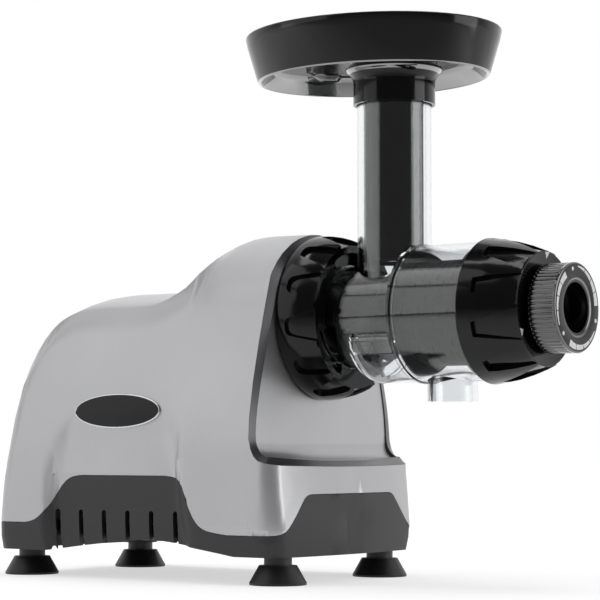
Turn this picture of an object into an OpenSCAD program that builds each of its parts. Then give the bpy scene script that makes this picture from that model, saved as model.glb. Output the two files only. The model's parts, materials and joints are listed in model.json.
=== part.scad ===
// Cold press juicer: a horizontal single-auger juicer on a sloped motor housing.
// The drum axis runs along +X, the juicer stands on the plane z = 0.

/* [Motor housing] */
// Distance between the front and rear foot centres
foot_span_x = 197.6; // [185:1:210]
// Distance between the left and right foot centres
foot_span_y = 108; // [96:1:112]
// From the middle of the feet to the rear wall
body_rear = 113; // [110:1:120]
// From the middle of the feet to the front face
body_front = 116; // [112:1:124]
// Half width of the housing at the seam
body_half_w = 75.5; // [72:0.5:82]
// Height of the housing's flat rear deck at its edges
deck_z = 168.7; // [160:1:174]
// Height of the top of the head, over the drum axis
head_top = 212.8; // [212:0.2:222]
// Radius of the arched head, seen from the front
head_r = 60; // [56:1:62]
// Height of the drum axis
axis_z = 160.7; // [158:0.1:162]
// Wall thickness of the housing shell
shell_wall = 2.6; // [2:0.1:3.2]
// Radius of the rounded front corners, seen from above
corner_r = 13; // [8:0.5:16]
// Depth by which the sides are waisted above and round the vents
waist_depth = 5; // [0:0.5:6]
// Height of the front ledge under the drum
ledge_z = 73.5; // [70:0.5:78]

/* [Base] */
// Height of the lower edge of the base at its ends
base_z = 16.5; // [15:0.5:19]
// Rise of the arched lower edge of the base
base_arch = 8; // [4:0.5:10]
// Height of the seam between base and housing
seam_z = 34; // [32:0.5:38]
// Height of the top of the vent panel
vent_top_z = 64; // [60:0.5:68]
// Number of cooling slots on each side
vent_count = 6; // [4:1:7]
// Width of a cooling slot
vent_w = 3.6; // [2:0.1:4]
// Distance between cooling slots
vent_pitch = 19; // [16:0.5:20]
// Radius of a rubber foot at the table
foot_r = 17; // [14:0.5:19]
// Height of a rubber foot
foot_h = 11.5; // [10:0.5:13]

/* [Drum] */
// From the front panel to the shoulder of the drum
neck_len = 74; // [70:1:82]
// Outer radius of the drum's neck
neck_r = 31; // [30:0.5:32]
// Length of the drum's barrel in front of the shoulder
barrel_len = 48.5; // [46:0.5:54]
// Outer radius of the drum's barrel
barrel_r = 41; // [40:0.5:42]
// Wall thickness of the clear drum
drum_wall = 2.6; // [2:0.1:3]
// From the front panel to the middle of the feed chute
chute_offset = 53.6; // [52:0.2:55]
// Bore of the feed chute
chute_bore = 38.1; // [36:0.1:40]
// Wall thickness of the feed chute
chute_wall = 3.5; // [2.5:0.1:4]
// Height of the upper end of the feed chute
chute_top = 303; // [290:1:310]
// Distance from the shoulder to the juice spout's centre
spout_offset = 20.5; // [18:0.5:24]
// Bore of the juice spout
spout_bore = 24; // [20:0.5:26]
// Height of the juice spout's lower end
spout_z = 108; // [104:0.5:112]

/* [Locking ring, end cap and dial] */
// Largest radius of the locking ring
ring_r = 50.8; // [49.5:0.1:52]
// Length of the locking ring along the drum axis
ring_len = 24.3; // [24:0.1:27]
// Finger recesses round the locking ring
ring_grips = 12; // [8:1:14]
// Finger recesses round the end cap
cap_grips = 10; // [8:1:12]
// Largest radius of the end cap
cap_r = 43; // [42.6:0.1:45]
// Length of the end cap
cap_len = 35.3; // [34:0.1:38]
// Radius of the pressure dial
dial_r = 26.1; // [25:0.1:28]
// Length of the dial in front of the end cap
dial_len = 18.9; // [16:0.1:22]
// Ribs round the dial
dial_ribs = 54; // [36:1:64]
// Bore of the dial, where the pulp leaves
dial_bore = 29.2; // [26:0.1:30]
// Bore of the sliding pulp nozzle
nozzle_bore = 17; // [14:0.5:20]

/* [Hopper tray and pusher] */
// Half length of the tray's rim
tray_a = 82.8; // [76:0.2:92]
// Half width of the tray's rim
tray_b = 69.7; // [60:0.2:76]
// Height of the tray's rim over its underside
tray_h = 28; // [22:0.5:34]
// From the chute back to the middle of the tray
tray_back = 15.8; // [8:0.2:20]
// Height of the tray's underside
tray_z = 306; // [304:0.5:312]
// Height of the pusher's lower end
pusher_z = 192; // [190:1:230]
// Height of the pusher's grip over the underside of the tray
pusher_grip_h = 36; // [24:1:38]

/* [Motor and gears] */
// Height of the motor axis
motor_z = 82; // [80:0.5:84]
// Outer radius of the stator
stator_r = 45; // [42:0.5:46]
// Length of the stator stack
stator_len = 52; // [46:1:56]
// Teeth of the motor pinion
pinion_teeth = 14; // [12:1:15]
// Teeth of the large idler gear
idler_teeth = 70; // [64:1:72]
// Teeth of the small idler pinion
idler_pinion_teeth = 12; // [11:1:13]
// Teeth of the output gear
output_teeth = 50; // [46:1:51]
// Module of the first gear stage
module_1 = 1; // [0.9:0.05:1.05]
// Module of the second gear stage
module_2 = 1.5; // [1.4:0.05:1.55]

/* [Fits] */
// Clearance round a shaft in its bore
run_gap = 0.05; // [0.02:0.01:0.1]
// Clearance between turning or sliding mouldings
slide_gap = 0.4; // [0.3:0.05:0.6]
// Gap between mouldings that are screwed together
seam_gap = 0.3; // [0.1:0.05:0.5]

/* [Hidden] */
$fn = 96;

silver = "#B9B9B9";
dark_silver = "#6E6E6E";
base_grey = "#45454A";
gloss_black = "#1E1D1F";
rubber_black = "#161616";
steel = "#A8AAAD";
copper_tone = "#B4643C";
clear = [0.75, 0.78, 0.80, 0.35];

// ---------- helpers ----------
function mix(a, b, t) = a + (b - a) * t;
function smooth(t) = let (s = max(0, min(1, t))) s * s * (3 - 2 * s);
function arc(cx, cy, r, a0, a1, n = 12) =
    [for (k = [0 : n]) let (a = mix(a0, a1, k / n)) [cx + r * cos(a), cy + r * sin(a)]];
function catmull(p0, p1, p2, p3, t) =
    0.5 * (2 * p1 + (p2 - p0) * t + (2 * p0 - 5 * p1 + 4 * p2 - p3) * t * t
           + (3 * p1 - p0 - 3 * p2 + p3) * t * t * t);
// Smooth curve through the points, n steps to each span
function curve(p, n) =
    [for (k = [0 : (len(p) - 1) * n])
        let (i = min(floor(k / n), len(p) - 2), t = k / n - i, last = len(p) - 1)
        catmull(p[max(i - 1, 0)], p[i], p[i + 1], p[min(i + 2, last)], t)];

// Turns a shape drawn along +Z so that it runs along +X on the given axis
module along_x(x, y, z) { translate([x, y, z]) rotate([0, 90, 0]) children(); }
// A turned piece round the drum axis, from a profile of [radius, x] points
module turned(profile) { along_x(0, 0, axis_z) rotate_extrude() polygon(profile); }
// A sheet of the side view, extruded across the width
module side_prism(outline, y0, y1) {
    translate([0, y1, 0]) rotate([90, 0, 0]) linear_extrude(y1 - y0) polygon(outline);
}
// A sheet of the front view, given as [y, z] points, extruded along X
module front_prism(outline, x0, x1) {
    translate([x0, 0, 0]) multmatrix([[0, 0, 1, 0], [1, 0, 0, 0], [0, 1, 0, 0], [0, 0, 0, 1]])
        linear_extrude(x1 - x0) polygon(outline);
}
// A solid through closed rings of equal length
module loft(rings) {
    n = len(rings[0]);
    m = len(rings);
    points = [for (r = rings) for (p = r) p];
    sides = [for (i = [0 : m - 2]) for (k = [0 : n - 1])
        let (a = i * n + k, b = i * n + (k + 1) % n)
        each [[a, b, b + n], [a, b + n, a + n]]];
    first = [for (k = [n - 1 : -1 : 0]) k];
    last = [for (k = [0 : n - 1]) (m - 1) * n + k];
    polyhedron(points, concat(sides, [first, last]), convexity = 8);
}
// A solid through closed rings that close up into a loop
module loop_loft(rings) {
    n = len(rings[0]);
    m = len(rings);
    points = [for (r = rings) for (p = r) p];
    faces = [for (i = [0 : m - 1]) for (k = [0 : n - 1])
        let (a = i * n + k, b = i * n + (k + 1) % n,
             c = ((i + 1) % m) * n + k, d = ((i + 1) % m) * n + (k + 1) % n)
        each [[a, b, d], [a, d, c]]];
    polyhedron(points, faces, convexity = 8);
}

// ---------- places along the drum ----------
panel_x = 93;
ring_x0 = panel_x + 1;
ring_x1 = ring_x0 + ring_len;
chute_x = panel_x + chute_offset;
shoulder_x = panel_x + neck_len;
spout_x = shoulder_x + spout_offset;
cap_x0 = shoulder_x + barrel_len;
cap_x1 = cap_x0 + cap_len;
dial_gap = 1.5;
dial_x0 = cap_x1 + dial_gap;
dial_x1 = dial_x0 + dial_len;
bush_reach = 9;
// Middle of the overall length, so that the origin lies under the centre of the juicer
mid_x = (dial_x1 - body_rear - bush_reach) / 2;
module placed() { translate([-mid_x, 0, 0]) children(); }

// ---------- shape of the housing ----------
head_end_x = panel_x - 2.5;
rim_w = 5.5;
edge_wall = shell_wall - 0.3;
panel_low_z = 88;
head_edge_a = 62;
arch_z = head_top - head_r;
function on_arch(a) = [arch_z + head_r * sin(a), head_r * cos(a)];
head_edge_z = on_arch(head_edge_a)[0];
flank_z = 88;
axis_half_w = 58.3;
// Half width of the housing against height
flank = curve([[base_z - 4, body_half_w - 3.6], [seam_z - 3, body_half_w], [flank_z, body_half_w - 0.5],
               [mix(flank_z, axis_z, 0.42), mix(body_half_w, axis_half_w, 0.31)],
               [axis_z, axis_half_w], on_arch(33), on_arch(43), on_arch(53), on_arch(head_edge_a)], 4);
// Rear wall, deck and slope to the head as [x, z], measured on the crisp upper edge
slope_x = 54;
rise_z = head_edge_z - deck_z;
function wall_pt(dx, f) = [-body_rear + dx, mix(seam_z, deck_z, f)];
function slope_pt(fx, f) = [slope_x * fx, deck_z + rise_z * f];
edge_line = curve([[-body_rear, seam_z], wall_pt(3.4, 0.193), wall_pt(9.2, 0.379), wall_pt(14.3, 0.583),
                   wall_pt(18.9, 0.742), wall_pt(29, 0.868), wall_pt(40.5, 0.948), wall_pt(52.6, 0.988),
                   wall_pt(67.3, 1.002), slope_pt(-0.15, 0), slope_pt(0.12, 0.03), slope_pt(0.33, 0.16),
                   slope_pt(0.52, 0.32), slope_pt(0.67, 0.59), slope_pt(0.78, 0.82), slope_pt(0.9, 0.96),
                   slope_pt(1.1, 1), [head_end_x, head_edge_z]], 2);
wall_line = [for (p = edge_line) if (p[0] < -40) [p[1], p[0]]];
crown_line = [[-body_rear, 3], [-94, 8], [-75, 12], [5, 12], [45, 8], [head_end_x, head_top - head_edge_z]];
wall_round = [[seam_z, 12], [112, 8], [150, 2.5], [160, 0.6], [head_top, 0.6]];
bow = 4;
bow_r = pow(body_half_w - corner_r, 2) / (2 * bow);

function rear_round(x, z) =
    let (r = lookup(z, wall_round), d = max(0, x - lookup(z, wall_line)))
    d < r ? r - sqrt(r * r - (r - d) * (r - d)) : 0;
function front_round(x) =
    let (corner_x = body_front - bow, d = x - (corner_x - corner_r))
    d <= 0 ? 0
    : x < corner_x ? corner_r - sqrt(corner_r * corner_r - d * d)
    : body_half_w - sqrt(2 * bow_r * (body_front - x));
waist_rear = [[25, -71], [64, -70], [95, -55]];
waist_front = [[25, 49], [45, 44.5], [65, 43], [88, 37]];
waist_run = 9;
function waist(x, z) =
    waist_depth * smooth((x - lookup(z, waist_rear)) / waist_run)
    * smooth((lookup(z, waist_front) - x) / waist_run) * smooth((114 - z) / 50);
function half_at(x, z) = lookup(z, flank) - waist(x, z) - rear_round(x, z) - front_round(x);
// Lean of the lower front face, and of the head's front edge
front_lean = [[base_z, 0.2], [seam_z - 3, 2.8], [ledge_z - 3.5, -2.1]];
function leaned(x, z) = x + lookup(z, front_lean) * max(0, min(1, (x - body_front + 17) / 17));
head_lean = [[90, 2], [190, 0]];
// Upper edge of the housing wall beside the front moulding: a quarter ellipse, then the ledge
turn_x = panel_x - 0.5;
turn_len = 11;
turn_top = panel_low_z + 0.5;
turn_drop = 16.5;
function turn_z(x) = let (c = 1 - max(0, min(1, (x - turn_x) / turn_len)))
    turn_top - turn_drop * sqrt(1 - c * c);
function edge_at(x) = x < turn_x ? lookup(x, edge_line) : turn_z(x) - max(0, x - turn_x - turn_len) * 0.2;

// Cross section at x, from height lo to the upper edge, shrunk by a wall thickness
side_steps = 9;
crown_steps = 8;
function section(x, lo, wall) =
    let (top = wall == 0 ? edge_at(x) : min(edge_at(x - wall), edge_at(x), edge_at(x + wall)) - wall,
         hi = max(top, lo + 0.5),
         shift = wall == 0 ? x : x - wall,
         crown = x < turn_x ? lookup(x, crown_line) - wall * 0.4 : 0,
         top_half = max(half_at(shift, hi) - wall, 1))
    concat(
        [for (k = [0 : side_steps]) let (z = mix(lo, hi, k / side_steps))
            [place_x(x, z), -max(half_at(shift, z) - wall, 1), z]],
        [for (k = [1 : crown_steps - 1]) let (v = 2 * k / crown_steps - 1)
            [place_x(x, hi), v * top_half, hi + crown * (1 - v * v)]],
        [for (k = [side_steps : -1 : 0]) let (z = mix(lo, hi, k / side_steps))
            [place_x(x, z), max(half_at(shift, z) - wall, 1), z]]);
function place_x(x, z) = abs(x - head_end_x) < 0.01 ? x + lookup(z, head_lean) : leaned(x, z);
// Cross section of the lower body only, up to a level height
low_steps = 5;
low_top = vent_top_z + 6;
function low_section(x, lo, wall) =
    let (shift = wall == 0 ? x : x - wall)
    concat([for (k = [0 : low_steps]) let (z = mix(lo, low_top, k / low_steps))
               [leaned(x, z), -max(half_at(shift, z) - wall, 1), z]],
           [for (k = [low_steps : -1 : 0]) let (z = mix(lo, low_top, k / low_steps))
               [leaned(x, z), max(half_at(shift, z) - wall, 1), z]]);
rear_stations = [-body_rear, -body_rear + 0.4, -body_rear + 1];
mid_stations = [-body_rear + 3, -106, -103, -99, -94, -89, -84, -78, -73, -69, -65, -61, -56, -50, -44,
                -36, -27, -18, -8, 2, 10, 16, 22, 27, 31, 34.5, 38, 41, 44, 47, 51, 56, 64, 74, 84];
turn_stations = [for (a = [10, 32, 50, 70, 90]) turn_x + turn_len * (1 - cos(a))];
corner_stations = [for (d = [10, 7.5, 5.5, 4.4, 3.4, 2, 0.7, 0.1]) body_front - d];
stations = concat(rear_stations, mid_stations, [head_end_x, turn_x + 0.05], turn_stations, corner_stations);
inner_stations = concat([for (x = mid_stations) if (x > -body_rear + 4) x],
                        [for (x = [panel_x - 2, panel_x + 4, body_front - 15, body_front - 11,
                                   body_front - 8])
                            x - shell_wall]);
module body_solid() { loft([for (x = stations) section(x, base_z - 3, 0)]); }
module body_hollow(wall, lo) { loft([for (x = inner_stations) section(x, lo, wall)]); }
module low_solid() { loft([for (x = stations) low_section(x, base_z - 3, 0)]); }
module low_hollow(wall, lo) { loft([for (x = inner_stations) low_section(x, lo, wall)]); }

// Seam between the silver housing and the base, seen from the side and from the front
low_seam_z = 29.3;
vent_x0 = -85;
vent_x1 = 76;
side_seam = concat(
    [[-body_rear - 30, -20], [-body_rear - 30, seam_z]],
    curve([[vent_x0, seam_z], [-76.5, 36.2], [-68, 43], [-59.5, 56], [-51.5, 62.3], [-42, vent_top_z]], 4),
    curve([[26, vent_top_z], [36, 62.2], [43, 56.7], [47.3, 46.1], [53.3, 36.5], [61, 31.5],
           [vent_x1, low_seam_z]], 4),
    [[body_front + 30, low_seam_z], [body_front + 30, -20]]);
front_arch_z = 53.4;
front_seam_half = [[40, front_arch_z], [45, 52.7], [49, 49.6], [56, 41.5], [63, 34.2], [69, 30.2],
                   [76, low_seam_z]];
function mirrored(p) = concat([for (k = [len(p) - 1 : -1 : 0]) [-p[k][0], p[k][1]]], p);
front_seam = concat([[-120, -20], [-120, low_seam_z]], mirrored(curve(front_seam_half, 3)),
                    [[120, low_seam_z], [120, -20]]);
module below_seam(gap) {
    translate([0, 0, -gap]) {
        side_prism(side_seam, -120, 120);
        front_prism(front_seam, body_front - 20, body_front + 20);
    }
}
// Arched lower edge of the base
module above_arch() {
    arch = curve([[-70, base_z], [-42, base_z + base_arch * 0.46], [0, base_z + base_arch * 0.97],
                  [22, base_z + base_arch], [54, base_z + base_arch * 0.49], [80, base_z]], 4);
    side_prism(concat([[-200, 300], [-200, base_z]], arch, [[200, base_z], [200, 300]]), -120, 120);
}

// Front opening, as seen from the front: the flank line moved in by an inset
function flank_outline(inset) = concat(
    [for (z = [panel_low_z, 100, 112, 124, 136, 148, 158, 168, 178]) [lookup(z, flank) - inset, z]],
    [for (p = arc(0, arch_z, head_r - inset, 34, 90, 9)) p]);
function opening(inset, low_z) =
    let (h = flank_outline(inset), foot = [h[0][0], low_z])
    concat([foot], h, [for (k = [len(h) - 2 : -1 : 0]) [-h[k][0], h[k][1]]], [[-foot[0], low_z]]);

module upper_housing() color(silver) placed() {
    difference() {
        body_solid();
        body_hollow(shell_wall, base_z - 8);
        below_seam(0);
        // the front opening, closed by the front moulding
        front_prism(opening(edge_wall, panel_low_z - 1), panel_x - 6, panel_x + 30);
        // the thin nose of the wall, which the rim covers
        front_prism(opening(edge_wall - 1.2, panel_low_z - 0.5), turn_x - 0.4, panel_x + 30);
        translate([0, 0, ledge_z - 8]) linear_extrude(panel_low_z - ledge_z + 8) ledge_outline(edge_wall);
        switch_cutout();
    }
}

module base_tub() color(base_grey) placed() {
    tub_wall = shell_wall + 0.4;
    difference() {
        union() {
            difference() {
                intersection() {
                    low_solid();
                    below_seam(seam_gap);
                    above_arch();
                }
                low_hollow(tub_wall, floor_z + floor_t);
                under_floor(tub_wall);
            }
            foot_places() translate([0, 0, base_z]) cylinder(r = boss_r, h = floor_z - base_z + 1);
        }
        foot_places() translate([0, 0, base_z - 1])
            cylinder(r = stud_r + seam_gap / 2, h = floor_z + floor_t);
        screw_places() translate([0, 0, floor_z - 1]) cylinder(r = screw_r + 0.2, h = floor_t + 2);
        along_x(-body_rear - 5, bush_y, bush_z) cylinder(r = bush_r, h = 12);
        vent_slots();
        bottom_vents();
    }
}
floor_z = 26;
floor_t = 2.6;
boss_r = 11.5;
stud_r = 4;
screw_r = 2.2;
// The open underside, inside the skirt and up to the floor
module under_floor(wall) {
    loft([for (x = inner_stations)
        let (h = half_at(x - wall, floor_z) - wall - 0.6)
        [[x, -h, -60], [x, -h, floor_z], [x, h, floor_z], [x, h, -60]]]);
}
module foot_places() {
    for (sx = [-1, 1], sy = [-1, 1]) translate([sx * foot_span_x / 2, sy * foot_span_y / 2, 0]) children();
}
module screw_places() {
    for (x = [-62, 0, 62], sy = [-1, 1]) translate([x, sy * 56, 0]) children();
}
vent_mid_x = -13.7;
slot_top_z = 42.5;
module vent_slots() {
    for (k = [0 : vent_count - 1], sy = [-1, 1]) {
        x = vent_mid_x + (k - (vent_count - 1) / 2) * vent_pitch;
        translate([x, sy * half_at(x, slot_top_z) - 5, 0]) {
            translate([-vent_w / 2, 0, 0]) cube([vent_w, 10, slot_top_z - vent_w / 2]);
            translate([0, 0, slot_top_z - vent_w / 2]) rotate([-90, 0, 0]) cylinder(r = vent_w / 2, h = 10);
        }
    }
}
module bottom_vents() {
    for (x = [-48 : 8 : -8]) translate([x, -26, floor_z - 1]) cube([3, 52, floor_t + 2]);
}

// The front moulding inside the rim: upright panel, concave fillet and ledge
panel_t = 2.5;
fillet_r = 11;
ledge_lip_x = body_front - 5;
module front_panel() color(silver) placed() {
    top = head_top - rim_w;
    fillet_z = ledge_z - 0.5 + fillet_r;
    outer = concat([[panel_x, top]],
                   arc(panel_x + fillet_r, fillet_z, fillet_r, 180, 270, 8),
                   [[ledge_lip_x, ledge_z - 0.5], [ledge_lip_x, ledge_z - 0.5 - panel_t]],
                   arc(panel_x + fillet_r, fillet_z, fillet_r + panel_t, 270, 180, 8),
                   [[panel_x - panel_t, top]]);
    difference() {
        intersection() {
            side_prism(outer, -100, 100);
            union() {
                front_prism(opening(rim_w + seam_gap, panel_low_z - 1), panel_x - 30, panel_x + 0.5);
                translate([0, 0, ledge_z - 10]) linear_extrude(panel_low_z - ledge_z + 10)
                    ledge_outline(rim_w + seam_gap, panel_low_z);
            }
        }
        along_x(panel_x - 10, 0, axis_z) cylinder(r = socket_bore + 2, h = 20);
        socket_screw_places() cylinder(r = screw_r - 0.5, h = 30, center = true);
    }
}
// A point of the housing's front edge seen from above, moved in by an inset
front_edge_stations = concat([turn_x + turn_len + 2], corner_stations);
function inset_point(x, w) =
    let (corner_x = body_front - bow, cx = corner_x - corner_r, lean = leaned(x, ledge_z) - x,
         half_w = half_at(cx, ledge_z), a = acos(max(-1, min(1, (x - cx) / corner_r))))
    x < corner_x ? [cx + (corner_r - w) * cos(a) + lean, half_w - corner_r + (corner_r - w) * sin(a)]
    : [x - w + lean, half_at(x, ledge_z)];
// The ledge seen from above, inset from the housing's outline
module ledge_outline(w, side_z = ledge_z) {
    side_y = half_at(panel_x, side_z) - w;
    half = concat([[panel_x - 12, side_y], [turn_x + 6, side_y]],
                  [for (x = front_edge_stations) inset_point(x, w)]);
    polygon(concat(half, [for (k = [len(half) - 1 : -1 : 0]) [half[k][0], -half[k][1]]]));
}

// Bevelled rim that frames the front moulding: up one side, over the head and down,
// then forward along the ledge and across its bowed front edge.
// Each entry is the outer edge, the inner edge and the turn of the backward direction.
rim_inner_x = panel_x + 0.8;
rim_half = concat(
    [for (a = [90, 80, 70, 60, 50, 42, 34])
        [[head_end_x, head_r * cos(a), arch_z + head_r * sin(a)],
         [rim_inner_x, (head_r - rim_w) * cos(a), arch_z + (head_r - rim_w) * sin(a)], 0]],
    [for (z = [176, 166, 156, 146, 136, 126, 116, 106, 97, 90])
        [[head_end_x + lookup(z, head_lean), lookup(z, flank), z],
         [rim_inner_x, lookup(z, flank) - rim_w, z - 0.4], 0]],
    [for (a = [15, 30, 45, 60, 75, 90])
        [[turn_x + turn_len * (1 - cos(a)), half_at(panel_x, panel_low_z), turn_top - turn_drop * sin(a)],
         [rim_inner_x + (turn_len - 1) * (1 - cos(a)), half_at(panel_x, panel_low_z) - rim_w,
          mix(turn_top - 0.5, ledge_z + 1.7, sin(a))], a]],
    [for (x = front_edge_stations)
        let (z = edge_at(x), q = inset_point(x, rim_w))
        [[leaned(x, z), half_at(x, z), z], [q[0], q[1], ledge_z - 0.5 + 2.2 * pow(q[1] / 64, 2)], 90]]);
rim_seat = 2.5;
function unit(v) = v / norm(v);
function rim_ring(q, s) =
    let (back = -[cos(q[2]), 0, sin(q[2])],
         across = q[1] - q[0],
         inward = unit(across - (across * back) * back),
         outer = q[0] - 0.1 * back,
         seat = outer + (edge_wall + seam_gap) * inward,
         ring = [outer, q[1], q[1] + (q[2] > 0 && q[2] < 90 ? 6 : 3.3) * back, seat + rim_seat * back, seat])
    [for (p = ring) [p[0], s * p[1], p[2]]];
module housing_rim() color(dark_silver) placed() {
    n = len(rim_half);
    loop_loft(concat([for (k = [0 : n - 1]) rim_ring(rim_half[k], 1)],
                     [for (k = [n - 1 : -1 : 1]) rim_ring(rim_half[k], -1)]));
}

// ---------- feet and base fasteners ----------
module rubber_feet() color(rubber_black) placed() foot_places() difference() {
    rotate_extrude() polygon([[0, 0], [foot_r, 0], [foot_r + 0.2, 1.2], [foot_r * 0.67, foot_h],
                              [0, foot_h]]);
    translate([0, 0, foot_h - 7]) cylinder(r = stud_r - 1, h = 8);
}
module foot_studs() color(dark_silver) placed() foot_places() rotate_extrude()
    polygon([[0, foot_h - 6.8], [stud_r - 1.1, foot_h - 6.8], [stud_r - 1.1, foot_h], [foot_r * 0.49, foot_h],
             [foot_r * 0.49, base_z], [stud_r, base_z], [stud_r, floor_z + floor_t + 3],
                 [0, floor_z + floor_t + 3]]);
module base_screws() color(steel) placed() screw_places() difference() {
    union() {
        translate([0, 0, floor_z - 2]) cylinder(r = screw_r * 1.9, h = 2);
        translate([0, 0, floor_z - 0.5]) cylinder(r = screw_r, h = floor_t + 5);
    }
    for (a = [0, 90]) rotate(a) translate([-screw_r, -0.4, floor_z - 2.5]) cube([2 * screw_r, 0.8, 1.5]);
}

// ---------- rear switch and cord entry ----------
switch_z = 96;
switch_lean = 11.5;
switch_w = 30;
switch_h = 21;
module at_switch() {
    translate([lookup(switch_z, wall_line) - lookup(-100, crown_line) * 0.2, 0, switch_z])
        rotate([0, switch_lean, 0]) children();
}
switch_lip = 3;
switch_seat = 0.9;
rocker_axis_x = 5;
// The hole in the rear wall, with a flat seat round it for the switch's lip
module switch_cutout() {
    lip = switch_lip + seam_gap;
    at_switch() {
        cube([24, switch_w, switch_h], center = true);
        translate([-12, -switch_w / 2 - lip, -switch_h / 2 - lip])
            cube([12 + switch_seat, switch_w + 2 * lip, switch_h + 2 * lip]);
    }
}
module switch_frame() color(gloss_black) placed() at_switch() difference() {
    union() {
        translate([switch_seat - 2.4, -switch_w / 2 - switch_lip, -switch_h / 2 - switch_lip])
            cube([2.3, switch_w + 2 * switch_lip, switch_h + 2 * switch_lip]);
        translate([-1, -switch_w / 2 + seam_gap, -switch_h / 2 + seam_gap])
            cube([12, switch_w - 2 * seam_gap, switch_h - 2 * seam_gap]);
    }
    translate([-5, -rocker_w / 2 - slide_gap, -rocker_h / 2 - slide_gap])
        cube([14, rocker_w + 2 * slide_gap, rocker_h + 2 * slide_gap]);
    translate([rocker_axis_x, -rocker_w / 2 - 2, 0]) rotate([-90, 0, 0])
        cylinder(r = rocker_pin_r + run_gap, h = rocker_w + 4, $fn = 48);
}
rocker_w = 22;
rocker_h = 14;
rocker_pin_r = 1.5;
module switch_rocker() color(rubber_black) placed() at_switch() difference() {
    union() {
        intersection() {
            translate([rocker_axis_x, 0, 0]) rotate([90, 0, 0])
                cylinder(r = 8.4, h = rocker_w, center = true);
            translate([-5, -rocker_w / 2, -rocker_h / 2 + 1.6]) cube([10, rocker_w, rocker_h - 3.2]);
        }
        translate([rocker_axis_x, 0, 0]) rotate([90, 0, 0]) cylinder(r = 3.2, h = rocker_w, center = true);
        translate([rocker_axis_x, 0, 0]) rotate([90, 0, 0])
            cylinder(r = rocker_pin_r, h = rocker_w + 3.6, center = true, $fn = 48);
    }
    translate([-15.2, 0, 0]) rotate([90, 0, 0]) cylinder(r = 12.6, h = rocker_w + 2, center = true);
}
bush_r = 6.5;
bush_y = 30;
bush_z = 25.5;
cord_bore = 7.4;
module cord_bush() color(rubber_black) placed() along_x(-body_rear, bush_y, bush_z) rotate_extrude() polygon([
    [cord_bore / 2, -bush_reach], [cord_bore / 2 + 1.4, -bush_reach], [bush_r + 1.4, -2],
        [bush_r + 1.4, -0.2],
    [bush_r - 0.1, -0.2], [bush_r - 0.1, 5.5], [cord_bore / 2, 5.5]]);

// ---------- motor ----------
stator_x0 = -58;
stator_x1 = stator_x0 + stator_len;
rotor_r = stator_r * 0.5;
air_gap = 0.6;
shaft_r = 5;
bell_len = 15;
bearing_r = 13;
module around_motor(x = 0) { along_x(x, 0, motor_z) children(); }
module motor_stator() color(steel) placed() around_motor() difference() {
    translate([0, 0, stator_x0]) cylinder(r = stator_r, h = stator_len);
    translate([0, 0, stator_x0 - 1]) cylinder(r = rotor_r + air_gap, h = stator_len + 2);
    for (a = [0 : 15 : 345]) rotate(a)
        translate([rotor_r + air_gap + 2.5, -1.8, stator_x0 - 1]) cube([9, 3.6, stator_len + 2]);
}
// The copper end turns, a ring at each end of the stack
module motor_windings() color(copper_tone) placed() around_motor()
    for (x = [stator_x0 - 9.2, stator_x1 + 0.2]) translate([0, 0, x]) rotate_extrude()
        polygon([[rotor_r + 3, 0], [rotor_r + 11, 0], [rotor_r + 13, 2.5], [rotor_r + 13, 6.5],
                 [rotor_r + 11, 9], [rotor_r + 3, 9]]);
module bell(x_in, x_out) {
    // a shallow pot with a bearing seat in its floor, open towards the stator
    s = x_out > x_in ? 1 : -1;
    rotate_extrude() polygon([
        [stator_r, x_in], [stator_r, x_out - s * 3], [stator_r - 3, x_out], [bearing_r + 3, x_out],
        [bearing_r + 3, x_out + s * 4], [shaft_r + 1, x_out + s * 4], [shaft_r + 1, x_out + s * 2.2],
        [bearing_r + run_gap, x_out + s * 2.2], [bearing_r + run_gap, x_out - s * 6],
        [bearing_r + 2.5, x_out - s * 6], [bearing_r + 2.5, x_out - s * 3], [stator_r - 4, x_out - s * 3.2],
        [stator_r - 3, x_out - s * 4], [stator_r - 3, x_in]]);
}
module motor_front_bell() color("#8E9092") placed() around_motor() bell(stator_x1, stator_x1 + bell_len);
module motor_rear_bell() color("#8E9092") placed() around_motor() bell(stator_x0, stator_x0 - bell_len);
module ball_bearing(x, r_out, r_in, w) {
    translate([0, 0, x]) difference() {
        cylinder(r = r_out, h = w);
        translate([0, 0, -1]) cylinder(r = r_in + run_gap, h = w + 2);
        for (z = [-0.5, w - 1]) translate([0, 0, z]) rotate_extrude()
            polygon([[mix(r_in, r_out, 0.35), 0], [mix(r_in, r_out, 0.7), 0],
                     [mix(r_in, r_out, 0.7), 1.5], [mix(r_in, r_out, 0.35), 1.5]]);
    }
}
bearing_w = 8;
module motor_bearings() color(steel) placed() around_motor() {
    ball_bearing(stator_x1 + bell_len - 6, bearing_r, shaft_r, bearing_w);
    ball_bearing(stator_x0 - bell_len - bearing_w + 6, bearing_r, shaft_r, bearing_w);
}
fan_x = stator_x0 - bell_len - 13;
module motor_rotor() color("#77797C") placed() around_motor() {
    translate([0, 0, stator_x0]) cylinder(r = rotor_r, h = stator_len);
    translate([0, 0, stator_x0 - 4]) cylinder(r = rotor_r - 4, h = stator_len + 8);
    translate([0, 0, fan_x + 0.5]) cylinder(r = shaft_r, h = stage1_x + stage1_w - fan_x - 0.5);
    translate([0, 0, stage1_x]) gear(pinion_teeth, module_1, stage1_w, 0, idler_angle_m);
}
module cooling_fan() color(base_grey) placed() around_motor(fan_x) {
    difference() {
        union() {
            cylinder(r = 9, h = 8);
            cylinder(r = 34, h = 1.6);
            for (a = [0 : 40 : 320]) rotate(a) translate([8, -0.9, 0.5]) cube([25, 1.8, 7.5]);
        }
        translate([0, 0, 0.5]) cylinder(r = shaft_r + 0.02, h = 20);
    }
}
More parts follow.
